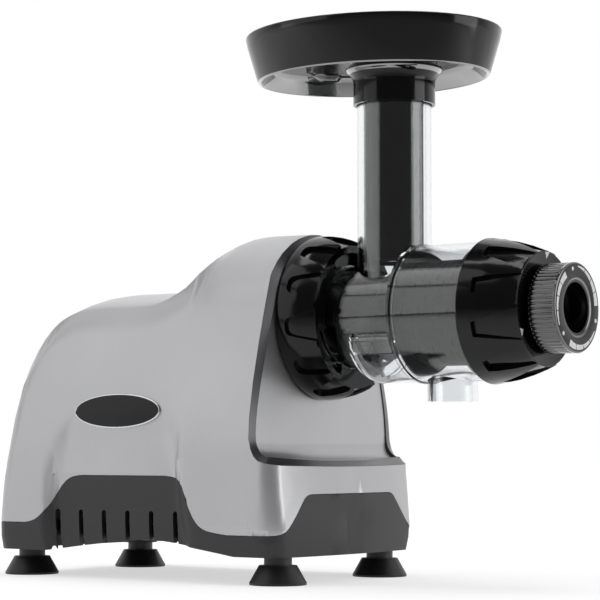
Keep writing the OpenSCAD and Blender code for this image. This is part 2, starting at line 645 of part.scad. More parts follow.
// Sheet-steel cradle under the motor, with a saddle at each end of the stack
cradle_t = 3;
module motor_cradle() color("#5C5E61") placed() difference() {
    union() {
        translate([stator_x0 - 4, -34, floor_z + floor_t + grommet_h]) cube([stator_len + 8, 68, cradle_t]);
        for (x = [stator_x0 + 2, stator_x1 - 2 - cradle_t])
            translate([x, -28, floor_z + floor_t + grommet_h])
                cube([cradle_t, 56, motor_z - stator_r * 0.62 - floor_z - 4]);
    }
    around_motor(stator_x0 - 20) cylinder(r = stator_r + seam_gap, h = stator_len + 40);
    grommet_places() translate([0, 0, floor_z]) cylinder(r = grommet_hole_r, h = 30);
}
grommet_h = 4;
grommet_hole_r = 3.2;
module grommet_places() {
    for (x = [stator_x0 + 12, stator_x1 - 12], sy = [-1, 1]) translate([x, sy * 29, 0]) children();
}
module cradle_grommets() color(rubber_black) placed() grommet_places() translate([0, 0, floor_z + floor_t])
    rotate_extrude() polygon([[0, 0], [5.5, 0], [5.5, grommet_h - 0.1],
                              [grommet_hole_r - 0.1, grommet_h - 0.1],
                              [grommet_hole_r - 0.1, grommet_h + cradle_t], [0, grommet_h + cradle_t]]);

// ---------- gears ----------
pressure_a = 20;
backlash = 0.14;
function inv_deg(a) = tan(a) * 180 / PI - a;
// Angle of a tooth's half thickness at radius r
function tooth_half(r, teeth, mod) =
    let (rp = mod * teeth / 2, rb = rp * cos(pressure_a))
    90 / teeth - backlash / rp * 90 / PI + inv_deg(pressure_a) - inv_deg(acos(min(1, rb / max(r, rb))));
function gear_outline(teeth, mod) =
    let (rp = mod * teeth / 2, ra = rp + mod * 0.95, rf = rp - mod * 1.25, rb = rp * cos(pressure_a),
         radii = [rf, max(rf + 0.01, mix(rf, rp, 0.45)), rp, mix(rp, ra, 0.55), ra])
    [for (k = [0 : teeth - 1]) each concat(
        [for (j = [0 : len(radii) - 1]) let (r = radii[j], a = 360 * k / teeth - tooth_half(r, teeth, mod))
            [r * cos(a), r * sin(a)]],
        [for (j = [len(radii) - 1 : -1 : 0])
            let (r = radii[j], a = 360 * k / teeth + tooth_half(r, teeth, mod))
            [r * cos(a), r * sin(a)]])];
// A gear whose tooth, or whose gap when half is 1, points at the angle
module gear(teeth, mod, width, half, angle) {
    rotate(angle + half * 180 / teeth) linear_extrude(width) polygon(gear_outline(teeth, mod));
}
mesh_gap = 0.12;
dist_1 = module_1 * (pinion_teeth + idler_teeth) / 2 + mesh_gap;
dist_2 = module_2 * (idler_pinion_teeth + output_teeth) / 2 + mesh_gap;
// The idler axis lies where both centre distances meet, to the far side of the motor axis
axes_rise = axis_z - motor_z;
idler_up = (axes_rise * axes_rise + dist_1 * dist_1 - dist_2 * dist_2) / (2 * axes_rise);
idler_y = sqrt(max(1, dist_1 * dist_1 - idler_up * idler_up));
idler_z = motor_z + idler_up;
// Angles round the X axis in the drawing plane of along_x, where +Z maps to the angle 180
function around_angle(dy, dz) = atan2(dy, -dz);
idler_angle_m = around_angle(idler_y, idler_z - motor_z);
idler_angle_o = around_angle(idler_y, idler_z - axis_z);
stage1_x = 29;
stage1_w = 11;
stage2_x = 52;
stage2_w = 15;
module around_idler(x = 0) { along_x(x, idler_y, idler_z) children(); }
idler_shaft_r = 4;
gear_wall = 3;
case_gap = 2.5;
case_x0 = stage1_x - case_gap;
case_mid_x = stage2_x - case_gap;
case_x1 = stage2_x + stage2_w + case_gap;
case_bearing_r = 11;
output_shaft_r = 10;
output_bearing_r = 19;
module idler_gear() color(steel) placed() around_idler() {
    translate([0, 0, stage1_x]) difference() {
        gear(idler_teeth, module_1, stage1_w, 1, idler_angle_m + 180);
        for (z = [-1, stage1_w - 3]) translate([0, 0, z]) rotate_extrude()
            polygon([[11, 0], [module_1 * idler_teeth / 2 - 5, 0], [module_1 * idler_teeth / 2 - 5, 4],
                     [11, 4]]);
    }
    translate([0, 0, stage1_x + stage1_w - 0.5]) cylinder(r = 7.4, h = stage2_x - stage1_x - stage1_w + 1);
    translate([0, 0, stage2_x]) gear(idler_pinion_teeth, module_2, stage2_w, 0, idler_angle_o + 180);
    translate([0, 0, case_x0 - 5]) cylinder(r = idler_shaft_r, h = case_x1 - case_x0 + 10);
}
output_socket_x = panel_x + 1;
hex_r = 6;
module output_gear() color("#97999C") placed() along_x(0, 0, axis_z) difference() {
    union() {
        translate([0, 0, stage2_x]) gear(output_teeth, module_2, stage2_w, 1, idler_angle_o);
        translate([0, 0, case_mid_x - gear_wall]) cylinder(r = output_shaft_r - 2, h = gear_wall + 3);
        translate([0, 0, stage2_x + stage2_w - 1])
            cylinder(r = output_shaft_r, h = output_socket_x - stage2_x - stage2_w + 1);
    }
    for (z = [stage2_x - 1, stage2_x + stage2_w - 4]) translate([0, 0, z]) rotate_extrude()
        polygon([[15, 0], [module_2 * output_teeth / 2 - 7, 0], [module_2 * output_teeth / 2 - 7, 5],
                 [15, 5]]);
    translate([0, 0, stage2_x + stage2_w + 4]) cylinder(r = hex_r + 0.15, h = 60, $fn = 6);
}
case_r = module_2 * output_teeth / 2 + 5.5;
low_case_r = 16;
rear_case_r = module_1 * idler_teeth / 2 + 5;
motor_case_r = 22;
case_lug_r = 4.5;
case_screw_r = 1.5;
module case_outline(inset) {
    hull() {
        translate([-axis_z, 0]) circle(r = case_r - inset);
        translate([-idler_z, idler_y]) circle(r = low_case_r + 1.5 - inset);
        translate([-idler_z, -idler_y * 0.4]) circle(r = low_case_r - inset);
    }
}
module rear_case_outline(inset) {
    hull() {
        translate([-idler_z, idler_y]) circle(r = rear_case_r - inset);
        translate([-motor_z, 0]) circle(r = motor_case_r - inset);
    }
}
// The lugs of the front half stand just outside its outline, and so do the rear half's
module front_lug_places() {
    for (p = [[case_r + 1.5, axis_z], [-case_r - 1.5, axis_z], [idler_y * 0.3, idler_z - low_case_r - 1.5]])
        translate([case_mid_x, p[0], p[1]]) rotate([0, 90, 0]) children();
}
module rear_lug_places() {
    for (p = [[idler_y, idler_z + rear_case_r + 1.5], [0, motor_z - motor_case_r - 1.5],
              [-motor_case_r - 1.5, motor_z]])
        translate([case_mid_x, p[0], p[1]]) rotate([0, 90, 0]) children();
}
rear_lug_len = case_mid_x - case_x0;
// Rear half: a pot round the first stage, open towards the middle plate
module gearbox_case() color("#9A9C9E") placed() difference() {
    union() {
        along_x(case_x0 - gear_wall, 0, 0) linear_extrude(rear_lug_len) rear_case_outline(0);
        around_idler(case_x0 - gear_wall - 5) cylinder(r = case_bearing_r + 3, h = 7);
        rear_lug_places() translate([0, 0, -gear_wall - rear_lug_len])
            cylinder(r = case_lug_r, h = rear_lug_len);
        for (sy = [-1, 1]) translate([case_x0 - gear_wall, sy * 15 - 6, floor_z + floor_t])
            cube([rear_lug_len, 12, motor_z - floor_z - floor_t - 16]);
    }
    along_x(case_x0, 0, 0) linear_extrude(case_mid_x - case_x0) rear_case_outline(gear_wall);
    around_motor(0) cylinder(r = shaft_r + 3, h = 60);
    around_idler(case_x0 - gear_wall - 3) cylinder(r = case_bearing_r + run_gap, h = 10);
    around_idler(case_x0 - 20) cylinder(r = idler_shaft_r + 2, h = 30);
    rear_lug_places() translate([0, 0, -80]) cylinder(r = case_screw_r + 0.1, h = 100);
}
// Plate between the stages, with the way through for the idler's pinion
module gearbox_plate() color("#9A9C9E") placed() difference() {
    union() {
        along_x(case_mid_x - gear_wall + 0.05, 0, 0) linear_extrude(gear_wall - 0.1) {
            case_outline(0);
            rear_case_outline(0);
        }
        translate([-gear_wall + 0.05, 0, 0]) {
            front_lug_places() cylinder(r = case_lug_r, h = gear_wall - 0.1);
            rear_lug_places() cylinder(r = case_lug_r, h = gear_wall - 0.1);
        }
    }
    around_idler(case_mid_x - 10) cylinder(r = module_2 * idler_pinion_teeth / 2 + 2.6, h = 20);
    along_x(case_mid_x - gear_wall - 1, 0, axis_z) cylinder(r = output_shaft_r - 2 + 0.3, h = gear_wall + 2);
    front_lug_places() cylinder(r = case_screw_r + 0.1, h = 30, center = true);
    rear_lug_places() cylinder(r = case_screw_r + 0.1, h = 30, center = true);
}
// Front half: covers the second stage and holds the output bearing
module gearbox_cover() color("#8A8C8E") placed() difference() {
    union() {
        along_x(case_mid_x, 0, 0) linear_extrude(case_x1 + gear_wall - case_mid_x) case_outline(0);
        along_x(case_x1, 0, axis_z) cylinder(r = output_bearing_r + 4, h = 14);
        around_idler(case_x1) cylinder(r = case_bearing_r + 3, h = gear_wall + 3);
        front_lug_places() cylinder(r = case_lug_r, h = 14);
    }
    along_x(case_mid_x - 1, 0, 0) linear_extrude(case_x1 - case_mid_x + 1) case_outline(gear_wall);
    along_x(case_x1 - 1, 0, axis_z) cylinder(r = output_shaft_r + 3, h = 30);
    along_x(case_x1 + 4, 0, axis_z) cylinder(r = output_bearing_r + run_gap, h = 30);
    around_idler(case_x1 - 1) cylinder(r = case_bearing_r + run_gap, h = 7);
    front_lug_places() translate([0, 0, -1]) cylinder(r = case_screw_r + 0.1, h = 12);
}
module gearbox_bearings() color(steel) placed() {
    around_idler() ball_bearing(case_x0 - gear_wall - 2.8, case_bearing_r, idler_shaft_r, 5.5);
    around_idler() ball_bearing(case_x1 - 0.9, case_bearing_r, idler_shaft_r, 5.5);
    along_x(0, 0, axis_z) ball_bearing(case_x1 + 4.2, output_bearing_r, output_shaft_r, 9);
}
// A screw seen from its head, whose underside lies at the given place
module case_screw(seat, length) {
    translate([0, 0, seat - 2.5]) cylinder(r = 3, h = 2.4);
    translate([0, 0, seat - 0.2]) cylinder(r = case_screw_r, h = length);
}
module gearbox_screws() color(steel) placed() {
    front_lug_places() case_screw(-gear_wall, 12);
    rear_lug_places() case_screw(-gear_wall - rear_lug_len, rear_lug_len + gear_wall);
}

// ---------- electrics ----------
capacitor_r = 15;
capacitor_x = 83;
capacitor_z = floor_z + floor_t + capacitor_r + 2.5;
module run_capacitor() color("#C9C9C6") placed() translate([capacitor_x, -30, capacitor_z])
    rotate([-90, 0, 0]) {
    cylinder(r = capacitor_r, h = 58);
    for (sx = [-5, 5]) translate([sx - 0.4, -3, 57]) cube([0.8, 6, 9]);
}
module capacitor_clip() color("#5C5E61") placed() translate([capacitor_x, 0, capacitor_z]) difference() {
    union() {
        rotate([-90, 0, 0]) cylinder(r = capacitor_r + 2, h = 14);
        translate([-capacitor_r - 6, 0, floor_z + floor_t - capacitor_z]) cube([2 * capacitor_r + 12, 14, 2]);
        translate([-6, 0, floor_z + floor_t - capacitor_z]) cube([12, 14, 5]);
    }
    translate([0, -1, 0]) rotate([-90, 0, 0]) cylinder(r = capacitor_r + 0.1, h = 16);
    translate([-6, -1, capacitor_r - 3]) cube([12, 16, 10]);
}
board_len = 58;
board_w = 30;
board_t = 1.6;
board_h = 6;
board_y = 58;
post_r = 1.6;
module board_posts() { for (x = [4, board_len - 4], y = [4, board_w - 4]) translate([x, y, 0]) children(); }
module switch_board() color("#2F6B45") placed() {
    translate([2, -board_y, floor_z + floor_t]) {
        translate([0, 0, board_h]) difference() {
            cube([board_len, board_w, board_t]);
            board_posts() translate([0, 0, -1]) cylinder(r = post_r + 0.1, h = board_t + 2);
        }
        board_posts() cylinder(r = post_r, h = board_h + board_t + 1.4);
        translate([12, 4, board_h + board_t - 0.1]) cube([18, 14, 12]);
        translate([38, 8, board_h + board_t - 0.1]) cylinder(r = 5, h = 14);
    }
}

// ---------- drum socket and locking ring ----------
socket_bore = 14;
socket_floor_t = 3.4;
sleeve_in_r = neck_r + slide_gap;
flange_x = ring_x0 + 18;
flange_t = 2.8;
flange_r = neck_r + 8;
sleeve_r = flange_r + 1;
lug_w = 44;
unlock_turn = 50;
lug_x = ring_x0 + 3;
module drum_socket() color(gloss_black) placed() difference() {
    turned([[socket_bore, panel_x + 0.1], [sleeve_r, panel_x + 0.1], [sleeve_r, lug_x],
            [sleeve_r + 2, lug_x + 1],
            [sleeve_r + 2, lug_x + 4], [sleeve_r, lug_x + 5], [sleeve_r, flange_x - seam_gap],
            [sleeve_in_r, flange_x - seam_gap], [sleeve_in_r, panel_x + socket_floor_t],
            [socket_bore, panel_x + socket_floor_t]]);
    socket_screw_places() cylinder(r = screw_r, h = 12, center = true);
}
module socket_screw_places() {
    for (a = [45 : 90 : 315])
        translate([panel_x + socket_floor_t, 22 * cos(a), axis_z + 22 * sin(a)]) rotate([0, 90, 0])
            children();
}
module socket_screws() color(steel) placed() socket_screw_places() {
    cylinder(r = screw_r * 1.7, h = 1.4);
    translate([0, 0, -8]) cylinder(r = screw_r - 0.6, h = 8.5);
}
// Finger recess: a tongue that widens to the open front edge, cut radially
module grip_prism(rear_w, front_w, length) {
    r = rear_w * 0.35;
    half = concat([[-length - 6, front_w / 2 + 1], [-length, front_w / 2]],
                  arc(-r, rear_w / 2 - r, r, 70, 0, 5));
    rotate([0, 90, 0]) linear_extrude(70)
        polygon(concat(half, [for (k = [len(half) - 1 : -1 : 0]) [half[k][0], -half[k][1]]]));
}
module grips(count, first, x_from, rear_w, front_w, length, floor_profile) {
    intersection() {
        along_x(x_from, 0, axis_z) for (k = [0 : count - 1])
            rotate(first + 360 / count * k) grip_prism(rear_w, front_w, length);
        turned(floor_profile);
    }
}
// Three sectors of a ring round the drum axis, centred on the given angle
module bayonet_sectors(angle, width, r_out, x0, x1) {
    along_x(x0, 0, axis_z) for (k = [0 : 2]) rotate(angle + 120 * k) linear_extrude(x1 - x0)
        polygon(concat([[0, 0]], arc(0, 0, r_out, -width / 2, width / 2, 8)));
}
module locking_ring() color(gloss_black) placed() {
    bore = sleeve_r + slide_gap;
    lip_x = flange_x + flange_t + seam_gap;
    difference() {
        turned(concat(
            [[bore, ring_x0], [ring_r - 0.8, ring_x0]],
            [[ring_r - 0.2, ring_x0 + 0.6], [ring_r, ring_x0 + 3], [ring_r - 0.4, ring_x0 + 8],
             [ring_r - 1.4, ring_x0 + 14], [ring_r - 3, ring_x0 + 19.5], [ring_r - 4.6, ring_x1 - 0.8],
             [ring_r - 5.4, ring_x1]],
            [[ring_r - 8, ring_x1], [neck_r + 1, ring_x1 - 0.8], [neck_r + 1, lip_x],
             [bore, lip_x], [bore, lug_x + 5.4], [bore + 2.2, lug_x + 4.2], [bore + 2.2, lug_x + 0.8],
             [bore, lug_x - 0.4]]));
        grips(ring_grips, 9, ring_x0 + 6.5, 11, 19, ring_len - 6.5,
              [[ring_r - 2.6, ring_x0 + 4], [ring_r + 8, ring_x0 + 4], [ring_r + 8, ring_x1 + 4],
               [ring_r - 7.4, ring_x1 + 4], [ring_r - 7, ring_x1 - 0.5], [ring_r - 3.8, ring_x0 + 13]]);
        // gaps that let the drum's lugs through once the ring is turned
        bayonet_sectors(-unlock_turn, lug_w + 6, flange_r + 0.5, lip_x - 1, ring_x1 + 1);
    }
}

// ---------- clear drum with chute and spout ----------
sump_r = barrel_r;
sump_x0 = shoulder_x - 32.5;
sump_top = axis_z - 9.7;
sump_half_w = 32.5;
sump_corner = 10;
nose_r = min(cap_r - 4.6, barrel_r - 2.6);
nose_x = cap_x0 + 8;
nose_lug_x = cap_x0 + 3;
nose_lug_t = 2.6;
nose_lug_r = nose_r + 1.6;
nose_lug_w = 24;
cap_turn = 45;
drum_rear_x = panel_x + 6;
chute_r = chute_bore / 2 + chute_wall;
seal_seat_r = 13;
// The juice trough under the neck, shrunk by a wall thickness
module sump(wall) {
    w = sump_half_w - wall;
    r = sump_corner - wall;
    top = sump_top - wall;
    intersection() {
        turned([[0, sump_x0 + wall], [sump_r - 3, sump_x0 + wall],
                [sump_r - 0.9 - wall, sump_x0 + 0.9 + wall],
                [sump_r - wall, sump_x0 + 3 + wall], [sump_r - wall, shoulder_x + 3], [0, shoulder_x + 3]]);
        front_prism(concat([[-w, 0]], arc(-w + r, top - r, r, 180, 90, 5),
                           arc(w - r, top - r, r, 90, 0, 5), [[w, 0]]),
                    sump_x0 - 10, shoulder_x + 10);
    }
}
module juicing_drum() color(clear) placed() difference() {
    union() {
        turned([[0, drum_rear_x], [neck_r, drum_rear_x], [neck_r, shoulder_x],
                [barrel_r + 0.8, shoulder_x], [barrel_r + 0.8, shoulder_x + 2.2], [barrel_r, shoulder_x + 3],
                [barrel_r, cap_x0 - 0.4], [nose_r, cap_x0 - 0.4], [nose_r, nose_x], [0, nose_x]]);
        bayonet_sectors(0, lug_w, flange_r, flange_x, flange_x + flange_t);
        bayonet_sectors(0, nose_lug_w, nose_lug_r, nose_lug_x, nose_lug_x + nose_lug_t);
        turned([[neck_r - 1, flange_x], [neck_r + 0.8, flange_x], [neck_r + 0.8, flange_x + flange_t],
                [neck_r - 1, flange_x + flange_t]]);
        sump(0);
        translate([chute_x, 0, axis_z]) cylinder(r = chute_r, h = chute_top - axis_z);
        translate([spout_x, 0, spout_z]) cylinder(r = spout_bore / 2 + 3, h = axis_z - 25 - spout_z);
    }
    turned([[0, drum_rear_x + drum_wall], [neck_r - drum_wall, drum_rear_x + drum_wall],
            [neck_r - drum_wall, shoulder_x + drum_wall],
            [barrel_r - drum_wall - 0.6, shoulder_x + drum_wall], [barrel_r - drum_wall - 0.6, cap_x0 - 2],
            [nose_r - drum_wall, cap_x0 - 2], [nose_r - drum_wall, nose_x + 1], [0, nose_x + 1]]);
    sump(drum_wall);
    translate([chute_x, 0, axis_z]) cylinder(r = chute_bore / 2, h = chute_top);
    translate([spout_x, 0, spout_z - 1]) cylinder(r = spout_bore / 2, h = axis_z - 20 - spout_z);
    along_x(drum_rear_x - 1, 0, axis_z) cylinder(r = seal_seat_r, h = drum_wall + 2);
}
auger_stub_r = 9;
module shaft_seal() color("#7C2F2A") placed() turned([
    [auger_stub_r + slide_gap, drum_rear_x], [seal_seat_r - 0.05, drum_rear_x],
    [seal_seat_r - 0.05, drum_rear_x + drum_wall], [seal_seat_r + 2.5, drum_rear_x + drum_wall + 0.1],
    [seal_seat_r + 2.5, drum_rear_x + drum_wall + 1.4],
        [auger_stub_r + slide_gap, drum_rear_x + drum_wall + 1.4]]);

// ---------- screen, auger and drive shaft ----------
screen_r = barrel_r - drum_wall - 7;
screen_t = 1.3;
screen_x0 = shoulder_x + drum_wall + 0.4;
screen_x1 = cap_x0 - 3;
screen_rows = 7;
screen_slots = 20;
module juicing_screen() color(steel) placed() difference() {
    turned([[screen_r - screen_t, screen_x0], [barrel_r - drum_wall - 1, screen_x0],
            [barrel_r - drum_wall - 1, screen_x0 + 1.8], [screen_r, screen_x0 + 1.8],
                [screen_r, screen_x1 - 2],
            [nose_r - drum_wall + 1.2, screen_x1 - 2], [nose_r - drum_wall + 1.2, screen_x1],
            [screen_r - screen_t, screen_x1]]);
    along_x(0, 0, axis_z) for (k = [0 : screen_slots - 1], j = [0 : screen_rows - 1])
        rotate(360 / screen_slots * (k + 0.5 * (j % 2)))
            translate([screen_r - 3, -2.6, screen_x0 + 4 + j * (screen_x1 - screen_x0 - 8) / screen_rows])
                cube([6, 5.2, 1.1]);
}
flight_r1 = neck_r - drum_wall - 0.9;
flight_r2 = screen_r - screen_t - 1.1;
flight_t = 4;
flight_pitch = 26;
auger_x0 = drum_rear_x + drum_wall + 2.4;
auger_x1 = screen_x1 - 1.5;
core_r1 = 12;
core_r2 = 22;
function core_at(x) =
    x < shoulder_x - 30 ? core_r1 : mix(core_r1, core_r2, min(1, (x - shoulder_x + 30) / 66));
function flight_at(x) =
    x < screen_x0 + 1 ? flight_r1 : mix(flight_r1, flight_r2, min(1, (x - screen_x0 - 1) / 5));
flight_steps = 14;
module auger() color(gloss_black) placed() {
    turns = (auger_x1 - auger_x0 - 12) / flight_pitch;
    n = ceil(turns * flight_steps);
    turned([[hex_r + 0.05, auger_x0 - 6], [auger_stub_r, auger_x0 - 6], [auger_stub_r, auger_x0],
            [flight_r1 - 6, auger_x0], [flight_r1 - 6, auger_x0 + 3], [core_r1, auger_x0 + 8],
            [core_r1, shoulder_x - 30], [core_r2, auger_x1 - 6], [core_r2, auger_x1], [10, auger_x1 + 3],
            [8, auger_x1 + 9], [0, auger_x1 + 10], [0, auger_x0 + 40], [hex_r + 0.05, auger_x0 + 40]]);
    loft([for (k = [0 : n])
        let (x = auger_x0 + 7 + (auger_x1 - auger_x0 - 12) * k / n, a = -360 * turns * k / n,
             t = flight_t / 2, ro = flight_at(x), ri = core_at(x) - 2.5)
        [for (q = [[ri, t], [ro, t * 0.7], [ro, -t * 0.7], [ri, -t]])
            [x + q[1], q[0] * cos(a), axis_z + q[0] * sin(a)]]]);
}
module auger_shaft() color(steel) placed() along_x(0, 0, axis_z) {
    translate([0, 0, output_socket_x - 22])
        cylinder(r = hex_r, h = auger_x0 + 38 - output_socket_x + 22, $fn = 6);
}

// ---------- gasket, end cap, dial and nozzle ----------
module drum_gasket() color(rubber_black) placed() turned([
    [nose_r - drum_wall + 1, nose_x + 0.05], [nose_r - 0.2, nose_x + 0.05],
    [nose_r - 0.2, nose_x + 1.6], [nose_r - drum_wall + 1, nose_x + 1.6]]);
hub_r = 19;
hub_flange_r = 22;
hub_bore = dial_bore / 2 + 1;
hub_step_x = dial_x0 + 3.3;
cap_face_r = 34;
module end_cap() color(gloss_black) placed() difference() {
    turned([[nose_r + slide_gap, cap_x0], [cap_r - 0.6, cap_x0], [cap_r, cap_x0 + 0.8],
            [cap_r - 0.9, cap_x0 + 6.5],
            [cap_r - 2.2, cap_x0 + 14.5], [cap_r - 4.6, cap_x0 + 23.5], [cap_r - 7.4, cap_x0 + 31.5],
            [cap_face_r, cap_x1], [cap_face_r - 1.4, cap_x1 + 0.4], [hub_r + 5, cap_x1 - 0.8],
            [hub_r + slide_gap, cap_x1 - 0.8], [hub_r + slide_gap, cap_x1 - 5],
            [cap_face_r - 5, cap_x1 - 5], [cap_r - 11, cap_x0 + 22], [cap_r - 9, nose_x + 5],
            [nose_r - drum_wall + 1, nose_x + 5], [nose_r - drum_wall + 1, nose_x + 1.9],
            [nose_r + slide_gap, nose_x + 1.9]]);
    // groove for the drum's lugs, with the three ways into it
    turned([[nose_r, nose_lug_x - slide_gap], [nose_lug_r + slide_gap, nose_lug_x - slide_gap],
            [nose_lug_r + slide_gap, nose_lug_x + nose_lug_t + slide_gap],
            [nose_r, nose_lug_x + nose_lug_t + slide_gap]]);
    bayonet_sectors(-cap_turn, nose_lug_w + 6, nose_lug_r + 2 * slide_gap, cap_x0 - 1,
                    nose_lug_x + nose_lug_t);
    grips(cap_grips, 0, cap_x0 + 6.5, 9, 19, cap_len - 5.5,
          [[cap_r - 4.4, cap_x0 + 9], [cap_r + 6, cap_x0 + 9], [cap_r + 6, cap_x1 + 3],
           [cap_face_r - 0.5, cap_x1 + 3], [cap_face_r - 0.5, cap_x1 - 1.5], [cap_r - 7, cap_x0 + 24]]);
}
function rib_outline(r, depth, n) =
    [for (k = [0 : n - 1]) each
        [for (q = [[0.08, r - depth], [0.3, r], [0.7, r], [0.92, r - depth]])
            [q[1] * cos(360 * (k + q[0]) / n), q[1] * sin(360 * (k + q[0]) / n)]]];
module pressure_dial() color(gloss_black) placed() along_x(0, 0, axis_z) {
    difference() {
        translate([0, 0, dial_x0 + 1.2]) linear_extrude(dial_len - 3)
            polygon(rib_outline(dial_r - 0.1, 0.7, dial_ribs));
        cylinder(r = dial_r - 2, h = 2 * dial_x1);
    }
    union() {
        rotate_extrude() polygon([
            [dial_bore / 2, hub_step_x], [hub_r - 0.5, hub_step_x], [hub_r - 0.5, dial_x0],
                [dial_r - 1.4, dial_x0],
            [dial_r - 0.5, dial_x0 + 1.3], [dial_r - 1.2, dial_x0 + 2], [dial_r - 1.2, dial_x1 - 2.4],
            [dial_r, dial_x1 - 2], [dial_r, dial_x1 - 0.8], [dial_r - 0.8, dial_x1],
            [dial_bore / 2 + 2.6, dial_x1], [dial_bore / 2 + 1.6, dial_x1 - 1],
                [dial_bore / 2, dial_x1 - 1]]);
        rotate_extrude() polygon([
            [hub_bore, dial_x0 - 9.2], [hub_flange_r, dial_x0 - 9.2], [hub_flange_r, cap_x1 - 5 - slide_gap],
            [hub_r, cap_x1 - 5 - slide_gap], [hub_r, hub_step_x + 1], [hub_bore, hub_step_x + 1]]);
    }
}
nozzle_x1 = hub_step_x - 0.3;
nozzle_r = hub_bore - slide_gap;
module pulp_nozzle() color(rubber_black) placed() turned([
    [nozzle_bore / 2, nozzle_x1 - 24], [nozzle_bore / 2 + 2, nozzle_x1 - 26], [nozzle_r - 1, nozzle_x1 - 16],
    [nozzle_r, nozzle_x1 - 15], [nozzle_r, nozzle_x1],
    [nozzle_bore / 2 + 1.5, nozzle_x1], [nozzle_bore / 2, nozzle_x1 - 1.5]]);

// ---------- hopper tray and pusher ----------
tray_x = chute_x - tray_back;
tray_flare = 7;
tray_wall = 2.6;
tray_steps = 56;
// The dish floor lies above the lower edge of its wall
tray_floor = 11.5;
floor_top = tray_z + tray_floor + tray_wall;
throat_r = chute_bore / 2;
collar_r = chute_r + slide_gap + 2;
collar_z = tray_z - 17.4;
lip_z = tray_z + 4.6;
function oval(a, b, z, n = tray_steps) =
    [for (k = [n : -1 : 1]) [tray_x + a * cos(360 * k / n), b * sin(360 * k / n), z]];
function round_ring(r, z, n = tray_steps) =
    [for (k = [n : -1 : 1]) [chute_x + r * cos(360 * k / n), r * sin(360 * k / n), z]];
module hopper_tray() color(gloss_black) placed() {
    a = tray_a;
    b = tray_b;
    f = tray_flare;
    g = f + 2.4;
    top = tray_z + tray_h;
    w = tray_wall;
    // the dish, closed round a hole in its floor that the collar fills
    loop_loft([
        oval(a - f - w, b - g - w, tray_z + 0.4), oval(a - f - 1, b - g - 1, tray_z),
            oval(a - f, b - g, tray_z + 0.8),
        oval(a - 1.6, b - 1.8, top - 7), oval(a - 0.4, b - 0.4, top - 1.4),
        oval(a - 0.9, b - 0.9, top - 0.3), oval(a - 1.6, b - 1.6, top), oval(a - w, b - w, top - 0.6),
        oval(a - w - 1.6, b - w - 1.9, top - 7), oval(a - f, b - g + 0.6, floor_top + 3.5),
        oval(a - f - 4, b - g - 4, floor_top + 0.4), round_ring(throat_r + 6.4, floor_top),
        round_ring(throat_r + 6.4, floor_top - w), oval(a - f - 6, b - g - 6, floor_top - w + 0.2),
        oval(a - f - w - 1.4, b - g - w - 1.4, floor_top - w - 3)]);
    // the collar: throat, flared lip and band that drops over the chute
    translate([chute_x, 0, 0]) rotate_extrude() polygon(concat(
        [[throat_r + 0.2, floor_top + 0.5], [throat_r + 0.2, chute_top + 0.4],
         [chute_r + slide_gap, chute_top + 0.4], [chute_r + slide_gap, collar_z], [collar_r, collar_z]],
        arc(collar_r + 9, lip_z - 9.2, 9, 180, 118, 6),
        [[collar_r + 4.5, lip_z], [collar_r + 4, lip_z + 1.2], [collar_r + 1.4, lip_z + 2.2],
         [collar_r + 1.4, floor_top - w - 0.4], [throat_r + 6.8, floor_top - w - 0.2],
             [throat_r + 6.8, floor_top + 0.5]]));
}
pusher_r = chute_bore / 2 - slide_gap - 0.1;
module pusher() color(gloss_black) placed() translate([chute_x, 0, 0]) difference() {
    grip_top = tray_z + pusher_grip_h;
    rest = floor_top + 0.9;
    rotate_extrude() polygon([
        [0, pusher_z], [pusher_r - 1, pusher_z], [pusher_r, pusher_z + 1], [pusher_r, rest],
        [pusher_r + 6, rest], [pusher_r + 6, rest + 2.6], [pusher_r - 3, rest + 4.5],
            [pusher_r - 5, rest + 9],
        [pusher_r - 4, grip_top - 4.5], [pusher_r - 1, grip_top - 3], [pusher_r - 1.4, grip_top - 1],
        [pusher_r - 3, grip_top], [0, grip_top]]);
    translate([0, 0, pusher_z - 1]) cylinder(r = pusher_r - 3, h = 6);
}

upper_housing();
base_tub();
front_panel();
housing_rim();
rubber_feet();
foot_studs();
base_screws();
switch_frame();
switch_rocker();
cord_bush();
motor_stator();
motor_windings();
motor_front_bell();
motor_rear_bell();
motor_bearings();
motor_cradle();
cradle_grommets();
motor_rotor();
cooling_fan();
gearbox_case();
gearbox_plate();
gearbox_cover();
gearbox_bearings();
gearbox_screws();
idler_gear();
output_gear();
run_capacitor();
capacitor_clip();
switch_board();
drum_socket();
socket_screws();
locking_ring();
juicing_drum();
shaft_seal();
juicing_screen();
auger();
auger_shaft();
drum_gasket();
end_cap();
pressure_dial();
pulp_nozzle();
hopper_tray();
pusher();
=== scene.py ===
import json
from math import cos, pi, radians, sin

import bpy
from bpy.props import FloatProperty, FloatVectorProperty, IntProperty, PointerProperty, StringProperty
from mathutils import Matrix, Vector


